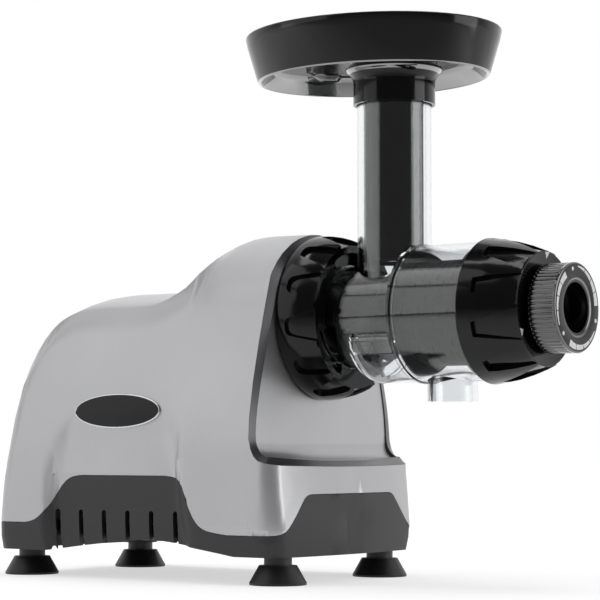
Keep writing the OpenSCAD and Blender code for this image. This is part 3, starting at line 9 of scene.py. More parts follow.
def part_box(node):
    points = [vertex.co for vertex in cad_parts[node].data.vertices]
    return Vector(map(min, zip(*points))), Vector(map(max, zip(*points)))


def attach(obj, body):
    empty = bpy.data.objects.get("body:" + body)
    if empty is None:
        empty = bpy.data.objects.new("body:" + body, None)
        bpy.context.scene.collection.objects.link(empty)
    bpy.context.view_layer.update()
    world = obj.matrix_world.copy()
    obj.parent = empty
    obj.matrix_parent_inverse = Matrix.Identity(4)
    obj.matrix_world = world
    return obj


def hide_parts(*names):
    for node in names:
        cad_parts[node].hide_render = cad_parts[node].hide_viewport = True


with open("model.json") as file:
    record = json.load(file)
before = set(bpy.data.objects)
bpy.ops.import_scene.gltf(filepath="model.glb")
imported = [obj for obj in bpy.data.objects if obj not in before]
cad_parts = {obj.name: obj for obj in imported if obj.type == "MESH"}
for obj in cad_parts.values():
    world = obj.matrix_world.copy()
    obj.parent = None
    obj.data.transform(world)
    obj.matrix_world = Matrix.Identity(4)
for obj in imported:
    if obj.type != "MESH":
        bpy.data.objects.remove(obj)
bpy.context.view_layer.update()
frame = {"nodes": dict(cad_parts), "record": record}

bl_info = {
    "name": "Cold press juicer",
    "version": (1, 0, 0),
    "blender": (4, 5, 0),
    "location": "View3D > Sidebar > Juicer",
    "description": "Finishes, marks, bare plate, lights and camera of a horizontal cold press juicer",
    "category": "Object",
}

MM = 0.001
WELD = 0.004 * MM               # corners closer than this are one corner
EDGE_FROM = radians(38)         # edges that turn further than this are rounded
CLEAR = 20 * MM                 # a line that looks for a surface starts this far outside it
SENSOR = 36                     # camera sensor's width in millimetres
BEHIND = (-0.585, 0.81, 0.0)    # level direction from the eye past the object

# which way the pattern of a bare metal is drawn out, as its scale along X, Y and Z
SHAFT_LINES = (1.0, 12.0, 12.0)     # drawn lines along the shafts
LAMINATIONS = (14.0, 0.4, 0.4)      # thin sheets stacked along the motor
CAST_SKIN = (1.0, 1.0, 1.0)         # even in all directions

AIM = Vector((0.02, 0, 0.17))       # the place on the object that the soft panels face
PANELS = {      # the middle of each soft panel, and its width and height, in metres
    "left_low": ((-0.95, -1.27, 0.65), (1.3, 1.15)),
    "left_high": ((-0.62, -0.85, 1.45), (1.0, 0.7)),
    "right": ((1.45, 0.5, 0.6), (0.9, 1.1)),
    "top": ((0.0, 0.1, 1.7), (1.4, 1.0)),
}


# ---------- sizes and colours that a user would change ----------

class JuicerFinishes(bpy.types.PropertyGroup):
    """Colours of the moulded, lacquered and rubber pieces, as sRGB hex"""
    silver: StringProperty(name="Silver", description="Lacquer of the motor housing", default="#BDBDBF")
    # the rim's grey is darker than the silver: painted shade of the bevel
    rim: StringProperty(name="Rim", description="Lacquer of the bevelled rim", default="#5E5E60")
    base: StringProperty(name="Base", description="Moulded base with the vents", default="#2F2E30")
    black: StringProperty(name="Black", description="Polished black mouldings", default="#0C0C0D")
    rubber: StringProperty(name="Rubber", description="Feet and cord bush", default="#0C0C0D")
    stud: StringProperty(name="Foot stud", description="Moulded stud over each foot", default="#29292B")
    mark: StringProperty(name="Print", description="White pad print of the marks", default="#FAFAFA")
    clear: StringProperty(name="Clear", description="Tint of the clear drum", default="#F4F6F7")


class JuicerPlate(bpy.types.PropertyGroup):
    """Size and place of the bare oval plate on the near flank"""
    centre_x: FloatProperty(name="Centre X", description="Place along the housing",
                            default=-85.6 * MM, unit="LENGTH")
    centre_z: FloatProperty(name="Centre Z", description="Height of the middle",
                            default=103.6 * MM, unit="LENGTH")
    half_w: FloatProperty(name="Half width", description="Half of the long axis",
                          default=34.6 * MM, unit="LENGTH")
    half_h: FloatProperty(name="Half height", description="Half of the short axis",
                          default=10.7 * MM, unit="LENGTH")
    rim_w: FloatProperty(name="Rim", description="Width of the bright rim", default=1.1 * MM, unit="LENGTH")
    height: FloatProperty(name="Height", description="Rim over the wall", default=1.0 * MM, unit="LENGTH")
    crown: FloatProperty(name="Crown", description="Rise of the field's middle",
                         default=0.7 * MM, unit="LENGTH")


class JuicerMarks(bpy.types.PropertyGroup):
    """Sizes of the marks printed on the dial and the cap"""
    print_t: FloatProperty(name="Print", description="Thickness of the print",
                           default=0.06 * MM, unit="LENGTH")
    dot_r: FloatProperty(name="Dot", description="Radius of a dial dot", default=1.2 * MM, unit="LENGTH")
    dot_ring_r: FloatProperty(name="Dot circle", description="Dots from the axis",
                              default=22.6 * MM, unit="LENGTH")
    first_dot: FloatProperty(name="First dot", description="Turn from the top",
                             default=radians(-13), subtype="ANGLE")
    wedge_r: FloatProperty(name="Wedge edge", description="Outer edge of the wedges",
                           default=24.2 * MM, unit="LENGTH")
    wedge_from: FloatProperty(name="Wedge start", description="After its dot",
                              default=radians(15), subtype="ANGLE")
    wedge_to: FloatProperty(name="Wedge end", description="After its dot",
                            default=radians(98), subtype="ANGLE")
    wedge_w0: FloatProperty(name="Thin end", description="Width at the thin end",
                            default=0.9 * MM, unit="LENGTH")
    wedge_w1: FloatProperty(name="Thick end", description="Width at the thick end",
                            default=4.0 * MM, unit="LENGTH")
    pointer_w: FloatProperty(name="Pointer width", description="Cap pointer",
                             default=5.0 * MM, unit="LENGTH")
    pointer_h: FloatProperty(name="Pointer height", description="Cap pointer",
                             default=4.2 * MM, unit="LENGTH")
    sectors: IntProperty(name="Sectors", description="Repeats round the dial", default=3, min=1, max=6)


class JuicerStage(bpy.types.PropertyGroup):
    """Camera, floor and lamps"""
    lens: FloatProperty(name="Lens", description="Focal length on a 36 mm sensor",
                        default=128.57, min=20, max=300, unit="CAMERA")
    azimuth: FloatProperty(name="Azimuth", description="Camera turn from the side",
                           default=radians(35.9297), subtype="ANGLE")
    tilt: FloatProperty(name="Tilt", description="Camera tilt upwards",
                        default=radians(3.9676), subtype="ANGLE")
    eye: FloatVectorProperty(name="Eye", description="Place of the camera",
                             default=(0.7841, -1.0804, 0.0804), subtype="TRANSLATION")
    floor_half: FloatProperty(name="Floor", description="Half size of the floor",
                              default=6.0, unit="LENGTH")
    fill: FloatProperty(name="Fill", description="Strength of the room's light", default=0.22, min=0, max=2)
    room: FloatProperty(name="Room", description="Dark side of the room in reflections",
                        default=0.12, min=0, max=2)
    left_low: FloatProperty(name="Left panel, low", description="Radiance", default=1.0, min=0)
    left_high: FloatProperty(name="Left panel, high", description="Radiance", default=1.1, min=0)
    right: FloatProperty(name="Right panel", description="Radiance", default=2.6, min=0)
    top: FloatProperty(name="Top panel", description="Radiance", default=3.0, min=0)


GROUPS = {"juicer_finishes": JuicerFinishes, "juicer_plate": JuicerPlate,
          "juicer_marks": JuicerMarks, "juicer_stage": JuicerStage}


# ---------- small helpers: colours and nodes ----------

def linear(hex_colour):
    """An sRGB hex value as linear red, green, blue and alpha."""
    parts = [int(hex_colour[i:i + 2], 16) / 255 for i in (1, 3, 5)]
    return [c / 12.92 if c <= 0.04045 else ((c + 0.055) / 1.055) ** 2.4 for c in parts] + [1.0]


def shades_of(hex_colour, dark, light):
    """A colour times two factors, in linear light, for the two ends of a ramp."""
    base = linear(hex_colour)[:3]
    return [[min(1, c * factor) for c in base] + [1] for factor in (dark, light)]


def add(tree, kind, inputs=(), **settings):
    """Adds a node, sets its properties, and gives each input a value or a socket to read."""
    made = tree.nodes.new(kind)
    for name, value in settings.items():
        setattr(made, name, value)
    for name, value in dict(inputs).items():
        if isinstance(value, bpy.types.NodeSocket):
            tree.links.new(value, made.inputs[name])
        else:
            made.inputs[name].default_value = value
    return made


def per_metre(size_mm):
    """Noise scale at which one blob of the pattern is about this size."""
    return 1 / (size_mm * MM)


def start(name, **sockets):
    """A new material with its surface shader, and the object's own coordinates."""
    material = bpy.data.materials.new(name)
    material.use_nodes = True
    tree = material.node_tree
    shader = tree.nodes["Principled BSDF"]
    for socket, value in sockets.items():
        shader.inputs[socket.replace("_", " ")].default_value = value
    place = add(tree, "ShaderNodeTexCoord").outputs["Object"]
    return material, tree, shader, place


def lead(tree, shader, **sockets):
    """Leads outputs to the shader's inputs of the given names."""
    for socket, output in sockets.items():
        tree.links.new(output, shader.inputs[socket.replace("_", " ")])


# ---------- small helpers: pieces ----------

def deselect():
    """Leaves edit mode and selects nothing."""
    if bpy.context.object and bpy.context.object.mode != "OBJECT":
        bpy.ops.object.mode_set(mode="OBJECT")
    bpy.ops.object.select_all(action="DESELECT")


def make_active(piece):
    """Selects one piece alone."""
    deselect()
    piece.select_set(True)
    bpy.context.view_layer.objects.active = piece


def name_new(name):
    """Names the primitive that was just added, and its mesh."""
    piece = bpy.context.object
    piece.name = piece.data.name = name
    return piece


def settle(piece, body, look):
    """Applies the place, gives the finish and puts the piece on its body."""
    make_active(piece)
    bpy.ops.object.transform_apply(location=True, rotation=True, scale=True)
    piece.data.materials.clear()
    piece.data.materials.append(look)
    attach(piece, body)


def apply_all(piece):
    """Applies a piece's modifiers in their order."""
    make_active(piece)
    for modifier in list(piece.modifiers):
        bpy.ops.object.modifier_apply(modifier=modifier.name)


def body_of(node):
    """The body that carries a node of the frame."""
    bodies = frame["record"]["behaviour"]["bodies"]
    return next(body for body, nodes in bodies.items() if node in nodes)


def edit_all(piece):
    """Opens a mesh for editing with all of it selected."""
    make_active(piece)
    bpy.ops.object.mode_set(mode="EDIT")
    bpy.ops.mesh.select_all(action="SELECT")


def edit_between(piece, low, high):
    """Opens a mesh for editing with the corners between two places selected."""
    make_active(piece)
    bpy.ops.object.mode_set(mode="EDIT")
    bpy.ops.mesh.select_all(action="DESELECT")
    bpy.ops.object.mode_set(mode="OBJECT")
    for v in piece.data.vertices:
        v.select = all(low[i] < v.co[i] < high[i] for i in range(3))
    bpy.ops.object.mode_set(mode="EDIT")


def face_outwards():
    """Selects all of the mesh that is open for editing, and turns its faces outwards."""
    bpy.ops.mesh.select_all(action="SELECT")
    bpy.ops.mesh.normals_make_consistent(inside=False)


def patch_wall(piece, low, high):
    """Takes out the corners of a wall between two places, and closes each of its skins there."""
    edit_between(piece, low, high)
    bpy.ops.mesh.delete(type="VERT")
    bpy.ops.mesh.select_non_manifold(extend=False)
    bpy.ops.mesh.fill_holes(sides=0)
    bpy.ops.mesh.quads_convert_to_tris(ngon_method="BEAUTY")
    face_outwards()


def smooth_copy(node, look, angle=30, bevel=0.0, flat=0.0, patch=None, soft=None):
    """A merged, smooth copy of a moulding that stands in its place, with its edges rounded.

    Edges that turn by more than the angle stay sharp, and faces that turn by less than flat are joined,
    both in degrees. Patch and soft are each a lowest and a highest corner: the wall is closed between the
    first two, and between the other two no faces are joined and no edge is sharp.
    """
    piece = bpy.data.objects.new(node + "_moulding", frame["nodes"][node].data.copy())
    bpy.context.scene.collection.objects.link(piece)
    edit_all(piece)
    bpy.ops.mesh.remove_doubles(threshold=WELD)
    if patch:
        patch_wall(piece, *patch)
    if soft:
        edit_between(piece, *soft)
        bpy.ops.mesh.select_all(action="INVERT")
    if flat:
        bpy.ops.mesh.dissolve_limited(angle_limit=radians(flat))
    bpy.ops.object.mode_set(mode="OBJECT")
    if bevel:
        edge = piece.modifiers.new("edge", "BEVEL")
        edge.limit_method, edge.angle_limit = "ANGLE", EDGE_FROM
        edge.width, edge.segments = bevel, 2
        edge.use_clamp_overlap = True
        apply_all(piece)
    bpy.ops.object.shade_smooth_by_angle(angle=radians(angle))
    if soft:
        edit_between(piece, *soft)
        bpy.ops.mesh.mark_sharp(clear=True)
        bpy.ops.object.mode_set(mode="OBJECT")
    normals = piece.modifiers.new("normals", "WEIGHTED_NORMAL")
    normals.mode = "FACE_AREA_WITH_ANGLE"
    normals.keep_sharp = True
    apply_all(piece)
    settle(piece, body_of(node), look)
    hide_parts(node)
    return piece


def dress(node, look):
    """Gives a node of the frame its finish."""
    made = frame["nodes"][node]
    if not made.material_slots:
        made.data.materials.append(look)
    for place in made.material_slots:
        place.material = look


def surface_at(node, origin, way):
    """Where a line from outside first meets a moulding, and how its surface faces there."""
    bpy.context.view_layer.update()
    piece = bpy.data.objects.get(node + "_moulding", frame["nodes"][node])
    hit, place, normal, _ = piece.ray_cast(Vector(origin), Vector(way))
    if not hit:
        raise RuntimeError(f"The line from {tuple(origin)} misses {node}")
    return place, normal


def lay_on(piece, place, normal, way_up, sunk):
    """Moves a piece onto a surface, turned so that its own way up follows it, and a little sunk."""
    turn = Vector(way_up).rotation_difference(normal).to_matrix().to_4x4()
    piece.matrix_world = Matrix.Translation(place - normal * sunk) @ turn @ piece.matrix_world


def print_mark(piece, thickness, body):
    """Gives a flat mark its thickness, half of it in the face, and puts it on its body."""
    make_active(piece)
    bpy.ops.object.transform_apply(location=True, rotation=True, scale=True)
    solid = piece.modifiers.new("ink", "SOLIDIFY")
    solid.thickness, solid.offset = thickness, 0
    apply_all(piece)
    edit_all(piece)
    face_outwards()
    bpy.ops.object.mode_set(mode="OBJECT")
    settle(piece, body, finish("white_ink"))


# ---------- finishes ----------

def satin_lacquer(name, colour, roughness):
    """Sprayed metallic lacquer: soft broad reflections, faint flake and a light orange peel."""
    material, tree, shader, place = start(name, Metallic=0.72, IOR=1.5, Coat_Weight=0.12, Coat_Roughness=0.3)
    # flake of less than 0.1 mm, drawn at 0.7 mm so that it shows, in a coat that drifts over some 60 mm
    flake = add(tree, "ShaderNodeTexNoise", {"Vector": place, "Scale": per_metre(0.7), "Detail": 2.0})
    cloud = add(tree, "ShaderNodeTexNoise", {"Vector": place, "Scale": per_metre(60), "Detail": 2.0})
    blend = add(tree, "ShaderNodeMath", {0: flake.outputs["Fac"], 1: cloud.outputs["Fac"]}, operation="ADD")
    half = add(tree, "ShaderNodeMath", {0: blend.outputs[0], 1: 0.5}, operation="MULTIPLY")
    shades = add(tree, "ShaderNodeValToRGB", {"Fac": half.outputs[0]})
    ends = shades.color_ramp.elements
    ends[0].position, ends[1].position = 0.3, 0.7
    ends[0].color, ends[1].color = shades_of(colour, 0.94, 1.06)
    rough = add(tree, "ShaderNodeMapRange", {"Value": flake.outputs["Fac"], "To Min": roughness - 0.04,
                                             "To Max": roughness + 0.04})
    # orange peel of a sprayed coat, drawn at 1.6 mm so that it shows
    peel = add(tree, "ShaderNodeTexNoise", {"Vector": place, "Scale": per_metre(1.6), "Detail": 1.0})
    bump = add(tree, "ShaderNodeBump", {"Height": peel.outputs["Fac"], "Strength": 0.05,
                                        "Distance": 0.1 * MM})
    lead(tree, shader, Base_Color=shades.outputs["Color"], Roughness=rough.outputs["Result"],
         Normal=bump.outputs["Normal"])
    return material


def grained_abs(name, colour, roughness, grain_mm, depth):
    """Moulded ABS with a spark-eroded grain: a dull, broken highlight."""
    material, tree, shader, place = start(name, IOR=1.53)
    # the mould's grain is about 0.1 mm, and is drawn coarser so that it shows
    grain = add(tree, "ShaderNodeTexNoise", {"Vector": place, "Scale": per_metre(grain_mm), "Detail": 3.0})
    shades = add(tree, "ShaderNodeValToRGB", {"Fac": grain.outputs["Fac"]})
    ends = shades.color_ramp.elements
    ends[0].color, ends[1].color = shades_of(colour, 0.82, 1.2)
    rough = add(tree, "ShaderNodeMapRange", {"Value": grain.outputs["Fac"], "To Min": roughness - 0.06,
                                             "To Max": roughness + 0.06})
    bump = add(tree, "ShaderNodeBump", {"Height": grain.outputs["Fac"], "Strength": depth,
                                        "Distance": 0.15 * MM})
    lead(tree, shader, Base_Color=shades.outputs["Color"], Roughness=rough.outputs["Result"],
         Normal=bump.outputs["Normal"])
    return material


def polished_abs(name, colour, roughness, painted_sheen=0.0, painted_sheen_ior=1.9):
    """ABS from a polished mould: crisp reflections over a deep colour, with a very slight waviness; its
    optional clear coat is a painted sheen that makes chosen faces shine more.
    """
    material, tree, shader, place = start(name, IOR=1.38, Coat_Weight=painted_sheen, Coat_Roughness=roughness / 2,
                                          Coat_IOR=painted_sheen_ior)
    # the wall's waviness at 14 mm, and the haze of fine rubbing, drawn at 0.9 mm so that it shows
    wave = add(tree, "ShaderNodeTexNoise", {"Vector": place, "Scale": per_metre(14), "Detail": 1.0})
    haze = add(tree, "ShaderNodeTexNoise", {"Vector": place, "Scale": per_metre(0.9), "Detail": 3.0})
    shades = add(tree, "ShaderNodeValToRGB", {"Fac": wave.outputs["Fac"]})
    ends = shades.color_ramp.elements
    ends[0].color, ends[1].color = shades_of(colour, 0.88, 1.12)
    rough = add(tree, "ShaderNodeMapRange", {"Value": haze.outputs["Fac"],
                                             "To Min": max(0.02, roughness - 0.03),
                                             "To Max": roughness + 0.03})
    bump = add(tree, "ShaderNodeBump", {"Height": wave.outputs["Fac"], "Strength": 0.06,
                                        "Distance": 0.3 * MM})
    lead(tree, shader, Base_Color=shades.outputs["Color"], Roughness=rough.outputs["Result"],
         Normal=bump.outputs["Normal"])
    return material


def clear_polycarbonate(name, colour):
    """Injection-moulded polycarbonate: fully clear, with faint flow marks in the roughness."""
    material, tree, shader, place = start(name, Base_Color=linear(colour), IOR=1.585, Transmission_Weight=1.0)
    flow = add(tree, "ShaderNodeTexNoise", {"Vector": place, "Scale": per_metre(9), "Detail": 2.0})
    rough = add(tree, "ShaderNodeMapRange", {"Value": flow.outputs["Fac"], "To Min": 0.015, "To Max": 0.05})
    lead(tree, shader, Roughness=rough.outputs["Result"])
    return material


def moulded_rubber(name, colour):
    """Nitrile or silicone rubber: matt, with a dusty sheen at the edges."""
    material, tree, shader, place = start(name, IOR=1.5, Sheen_Weight=0.05, Sheen_Roughness=0.5)
    # fine dust in the skin, drawn at 1.2 mm so that it shows
    dust = add(tree, "ShaderNodeTexNoise", {"Vector": place, "Scale": per_metre(1.2), "Detail": 4.0})
    shades = add(tree, "ShaderNodeValToRGB", {"Fac": dust.outputs["Fac"]})
    ends = shades.color_ramp.elements
    ends[0].color, ends[1].color = shades_of(colour, 0.8, 1.5)
    rough = add(tree, "ShaderNodeMapRange", {"Value": dust.outputs["Fac"], "To Min": 0.38, "To Max": 0.52})
    bump = add(tree, "ShaderNodeBump", {"Height": dust.outputs["Fac"], "Strength": 0.12,
                                        "Distance": 0.1 * MM})
    lead(tree, shader, Base_Color=shades.outputs["Color"], Roughness=rough.outputs["Result"],
         Normal=bump.outputs["Normal"])
    return material


def machined_metal(name, colour, roughness, stretch):
    """Bare metal: fine lines where its pattern is drawn out one way, and a cast skin where it isn't."""
    material, tree, shader, place = start(name, Metallic=1.0)
    drawn = add(tree, "ShaderNodeMapping", {"Vector": place, "Scale": stretch})
    # 1.5 mm where the skin is even, and finer across the lines
    lines = add(tree, "ShaderNodeTexNoise", {"Vector": drawn.outputs["Vector"], "Scale": per_metre(1.5),
                                             "Detail": 4.0})
    shades = add(tree, "ShaderNodeValToRGB", {"Fac": lines.outputs["Fac"]})
    ends = shades.color_ramp.elements
    ends[0].color, ends[1].color = shades_of(colour, 0.8, 1.15)
    rough = add(tree, "ShaderNodeMapRange", {"Value": lines.outputs["Fac"], "To Min": roughness - 0.08,
                                             "To Max": roughness + 0.08})
    bump = add(tree, "ShaderNodeBump", {"Height": lines.outputs["Fac"], "Strength": 0.2,
                                        "Distance": 0.05 * MM})
    lead(tree, shader, Base_Color=shades.outputs["Color"], Roughness=rough.outputs["Result"],
         Normal=bump.outputs["Normal"])
    return material


def wound_copper(name):
    """Enamelled copper wire: fine turns with a varnished shine."""
    material, tree, shader, place = start(name, Metallic=0.7, Roughness=0.35, Coat_Weight=0.4,
                                          Coat_Roughness=0.2)
    # turns of 0.6 mm wire, drawn as bands about 2.6 mm apart so that they show
    turns = add(tree, "ShaderNodeTexWave", {"Vector": place, "Scale": per_metre(1.3) / 6.3,
                                            "Distortion": 1.5}, bands_direction="X")
    shades = add(tree, "ShaderNodeValToRGB", {"Fac": turns.outputs["Fac"]})
    ends = shades.color_ramp.elements
    ends[0].color, ends[1].color = linear("#6E3418"), linear("#C77A4A")
    bump = add(tree, "ShaderNodeBump", {"Height": turns.outputs["Fac"], "Strength": 0.5,
                                        "Distance": 0.2 * MM})
    lead(tree, shader, Base_Color=shades.outputs["Color"], Normal=bump.outputs["Normal"])
    return material


def white_print(name, colour):
    """Pad-printed ink: flat white with slightly uneven cover."""
    material, tree, shader, place = start(name, Roughness=0.5, IOR=1.5)
    # pinholes in the ink, drawn at 0.6 mm so that they show
    cover = add(tree, "ShaderNodeTexNoise", {"Vector": place, "Scale": per_metre(0.6), "Detail": 2.0})
    shades = add(tree, "ShaderNodeValToRGB", {"Fac": cover.outputs["Fac"]})
    ends = shades.color_ramp.elements
    ends[0].color, ends[1].color = shades_of(colour, 0.88, 1.0)
    lead(tree, shader, Base_Color=shades.outputs["Color"])
    return material


def eye_or_mirror(tree, mirrored):
    """Full strength for what the eye sees itself, and the given strength in gloss and through glass."""
    ray = add(tree, "ShaderNodeLightPath")
    bent = add(tree, "ShaderNodeMath", {0: ray.outputs["Is Glossy Ray"],
                                        1: ray.outputs["Is Transmission Ray"]}, operation="MAXIMUM")
    shown = add(tree, "ShaderNodeMath", {0: bent.outputs[0], 1: mirrored}, operation="MULTIPLY")
    return add(tree, "ShaderNodeMath", {0: ray.outputs["Is Camera Ray"], 1: shown.outputs[0]},
               operation="MAXIMUM")


def studio_floor(name):
    """White card: its own glow keeps it white to the eye, and fades where the object's shadow falls."""
    material, tree, shader, place = start(name, Roughness=0.9, IOR=1.3, Emission_Color=(1, 1, 1, 1))
    weave = add(tree, "ShaderNodeTexNoise", {"Vector": place, "Scale": per_metre(4), "Detail": 2.0})
    shades = add(tree, "ShaderNodeValToRGB", {"Fac": weave.outputs["Fac"]})
    ends = shades.color_ramp.elements
    ends[0].color, ends[1].color = linear("#BCBCBC"), linear("#C4C4C4")
    # the glow is weakest within 0.35 m of the object, and full from 1.4 m on
    away = add(tree, "ShaderNodeVectorMath", {0: place}, operation="LENGTH")
    glow = add(tree, "ShaderNodeMapRange", {"Value": away.outputs["Value"], "From Min": 0.35,
                                            "From Max": 1.4, "To Min": 0.6, "To Max": 1.0})
    # in gloss the card dims from 0.25 to 0.7 m in front of the object, so polished sides stay dark
    behind = add(tree, "ShaderNodeVectorMath", {0: place, 1: BEHIND}, operation="DOT_PRODUCT")
    card = add(tree, "ShaderNodeMapRange", {"Value": behind.outputs["Value"], "From Min": -0.7,
                                            "From Max": -0.25, "To Min": 0.12, "To Max": 1.0})
    seen = eye_or_mirror(tree, card.outputs["Result"])
    shown = add(tree, "ShaderNodeMath", {0: glow.outputs["Result"], 1: seen.outputs[0]},
                operation="MULTIPLY")
    lead(tree, shader, Base_Color=shades.outputs["Color"], Emission_Strength=shown.outputs[0])
    return material


def finish(name):
    """The named finish, made at its first use."""
    if name in bpy.data.materials:
        return bpy.data.materials[name]
    tone = bpy.context.scene.juicer_finishes
    makers = {
        "silver_lacquer": lambda: satin_lacquer(name, tone.silver, 0.36),
        # painted shade: the bevelled rim in a darker grey than the shell
        "rim_lacquer_painted_shade": lambda: satin_lacquer(name, tone.rim, 0.3),
        # grained plastics: colour, roughness, size of the drawn grain in millimetres, depth of its bump
        "graphite_abs": lambda: grained_abs(name, tone.base, 0.5, 0.8, 0.25),
        "stud_abs": lambda: grained_abs(name, tone.stud, 0.45, 0.8, 0.15),
        "dull_black_abs": lambda: grained_abs(name, tone.black, 0.42, 0.5, 0.3),
        "dark_screen": lambda: grained_abs(name, "#0E0E0F", 0.7, 0.6, 0.1),
        "board_green": lambda: grained_abs(name, "#2F6B45", 0.4, 1.5, 0.1),
        "capacitor_sleeve": lambda: grained_abs(name, "#C9C9C6", 0.35, 1.5, 0.05),
        # polished plastics: the last two are copies of the black with a strong clear coat, a painted sheen on
        # the dial's ribs and on the tray's underside
        "black_abs": lambda: polished_abs(name, tone.black, 0.13),
        "plate_field": lambda: polished_abs(name, "#070708", 0.3),
        # painted highlight: a copy of the black with a strong coat, for the dial's ribs
        "dial_ribs_painted_sheen": lambda: polished_abs(name, tone.black, 0.16, 1.0),
        # painted sheen: a copy of the black with a strong coat, for the tray's underside
        "tray_underside_painted_sheen": lambda: polished_abs(name, tone.black, 0.12, 1.0, 3.2),
        "clear_pc": lambda: clear_polycarbonate(name, tone.clear),
        "black_rubber": lambda: moulded_rubber(name, tone.rubber),
        "red_silicone": lambda: moulded_rubber(name, "#6A2A26"),
        "turned_steel": lambda: machined_metal(name, "#A8AAAD", 0.3, SHAFT_LINES),
        "stamped_steel": lambda: machined_metal(name, "#8A8C90", 0.42, CAST_SKIN),
        "cast_aluminium": lambda: machined_metal(name, "#9B9D9F", 0.5, CAST_SKIN),
        "laminated_steel": lambda: machined_metal(name, "#7C7E82", 0.45, LAMINATIONS),
        "plate_rim": lambda: machined_metal(name, "#D2D3D5", 0.2, CAST_SKIN),
        "enamelled_copper": lambda: wound_copper(name),
        "white_ink": lambda: white_print(name, tone.mark),
        "studio_floor": lambda: studio_floor(name),
    }
    return makers[name]()


# ---------- operators: the juicer's pieces ----------

class JUICER_OT_housing(bpy.types.Operator):
    """Silver shell, front moulding and rim, smoothed and lacquered; the rim's darker lacquer is painted shade
    of its bevel
    """
    bl_idname = "juicer.housing"
    bl_label = "Housing"

    def execute(self, context):
        low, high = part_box("upper_housing")
        # the slope up to the head, where the shell's hollow comes through its outer wall
        slope = ((-36.2 * MM, low.y, 187.5 * MM), (-30.9 * MM, high.y, 195.5 * MM))
        # the top and the head, behind the front face, which are one soft curve
        crown = ((low.x, low.y, 125 * MM), (8 * MM, high.y, high.z + MM))
        smooth_copy("upper_housing", finish("silver_lacquer"), angle=28, flat=0.6, patch=slope, soft=crown)
        smooth_copy("front_panel", finish("silver_lacquer"), angle=30, bevel=0.3 * MM, flat=0.5)
        # the rim is lacquered darker than the shell, as painted shade of its bevel
        smooth_copy("housing_rim", finish("rim_lacquer_painted_shade"), angle=32, bevel=0.35 * MM)
        return {"FINISHED"}


class JUICER_OT_base(bpy.types.Operator):
    """Grained base with its feet, studs, screws and cord bush"""
    bl_idname = "juicer.base"
    bl_label = "Base and feet"

    def execute(self, context):
        smooth_copy("base_tub", finish("graphite_abs"), angle=28)
        dress("rubber_feet", finish("black_rubber"))
        dress("foot_studs", finish("stud_abs"))
        dress("cord_bush", finish("black_rubber"))
        dress("base_screws", finish("stamped_steel"))
        return {"FINISHED"}


class JUICER_OT_drive(bpy.types.Operator):
    """Motor, gears, capacitor and board inside the housing, with the drum's shaft and seals"""
    bl_idname = "juicer.drive"
    bl_label = "Motor and gears"

    def execute(self, context):
        made_of = {
            "laminated_steel": ["motor_stator", "motor_rotor"],
            "enamelled_copper": ["motor_windings"],
            "cast_aluminium": ["motor_front_bell", "motor_rear_bell", "gearbox_case", "gearbox_plate",
                               "gearbox_cover"],
            "turned_steel": ["motor_bearings", "gearbox_bearings", "idler_gear", "output_gear",
                             "gearbox_screws", "socket_screws", "auger_shaft"],
            "stamped_steel": ["motor_cradle", "capacitor_clip"],
            "black_rubber": ["cradle_grommets", "drum_gasket"],
            "graphite_abs": ["cooling_fan"],
            "capacitor_sleeve": ["run_capacitor"],
            "board_green": ["switch_board"],
            "red_silicone": ["shaft_seal"],
        }
        for name, nodes in made_of.items():
            for node in nodes:
                dress(node, finish(name))
        return {"FINISHED"}


class JUICER_OT_drum(bpy.types.Operator):
    """Clear drum with its socket, locking ring, screen and auger"""
    bl_idname = "juicer.drum"
    bl_label = "Drum and auger"

    def execute(self, context):
        dress("drum_socket", finish("black_abs"))
        smooth_copy("locking_ring", finish("black_abs"), angle=35, bevel=0.35 * MM, flat=0.6)
        dress("juicing_drum", finish("clear_pc"))
        dress("juicing_screen", finish("dark_screen"))
        smooth_copy("auger", finish("dull_black_abs"), angle=40)
        return {"FINISHED"}


class JUICER_OT_cap(bpy.types.Operator):
    """End cap, pressure dial and pulp nozzle"""
    bl_idname = "juicer.cap"
    bl_label = "End cap and dial"

    def execute(self, context):
        smooth_copy("end_cap", finish("black_abs"), angle=35, bevel=0.35 * MM, flat=0.6)
        dial = smooth_copy("pressure_dial", finish("dial_ribs_painted_sheen"), angle=25)
        dial.data.materials.append(finish("black_abs"))
        face_on = 0.9   # faces whose normal leans less than this along the axis belong to the ribs
        # painted highlight: the ribs get the copy of the black with a strong coat, and the face keeps the
        # plain black
        for face in dial.data.polygons:
            face.material_index = 1 if face.normal.x > face_on else 0
        dress("pulp_nozzle", finish("dull_black_abs"))
        return {"FINISHED"}


class JUICER_OT_tray(bpy.types.Operator):
    """Hopper tray and pusher"""
    bl_idname = "juicer.tray"
    bl_label = "Tray and pusher"

    def execute(self, context):
        tray = smooth_copy("hopper_tray", finish("black_abs"), angle=30)
        tray.data.materials.append(finish("tray_underside_painted_sheen"))
        # painted sheen: the floor of the dish from below and the skirt's inner wall get the brighter copy of
        # the black, not the outer wall or the collar
        low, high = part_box("hopper_tray")
        middle = (low + high) / 2
        dish_low, level_down = high.z - 30 * MM, -0.6
        for face in tray.data.polygons:
            facing_in = (middle - face.center).xy.dot(face.normal.xy) > 0 and face.normal.z < 0
            underside = face.center.z > dish_low and (face.normal.z < level_down or facing_in)
            face.material_index = 1 if underside else 0
        dress("pusher", finish("black_abs"))
        return {"FINISHED"}


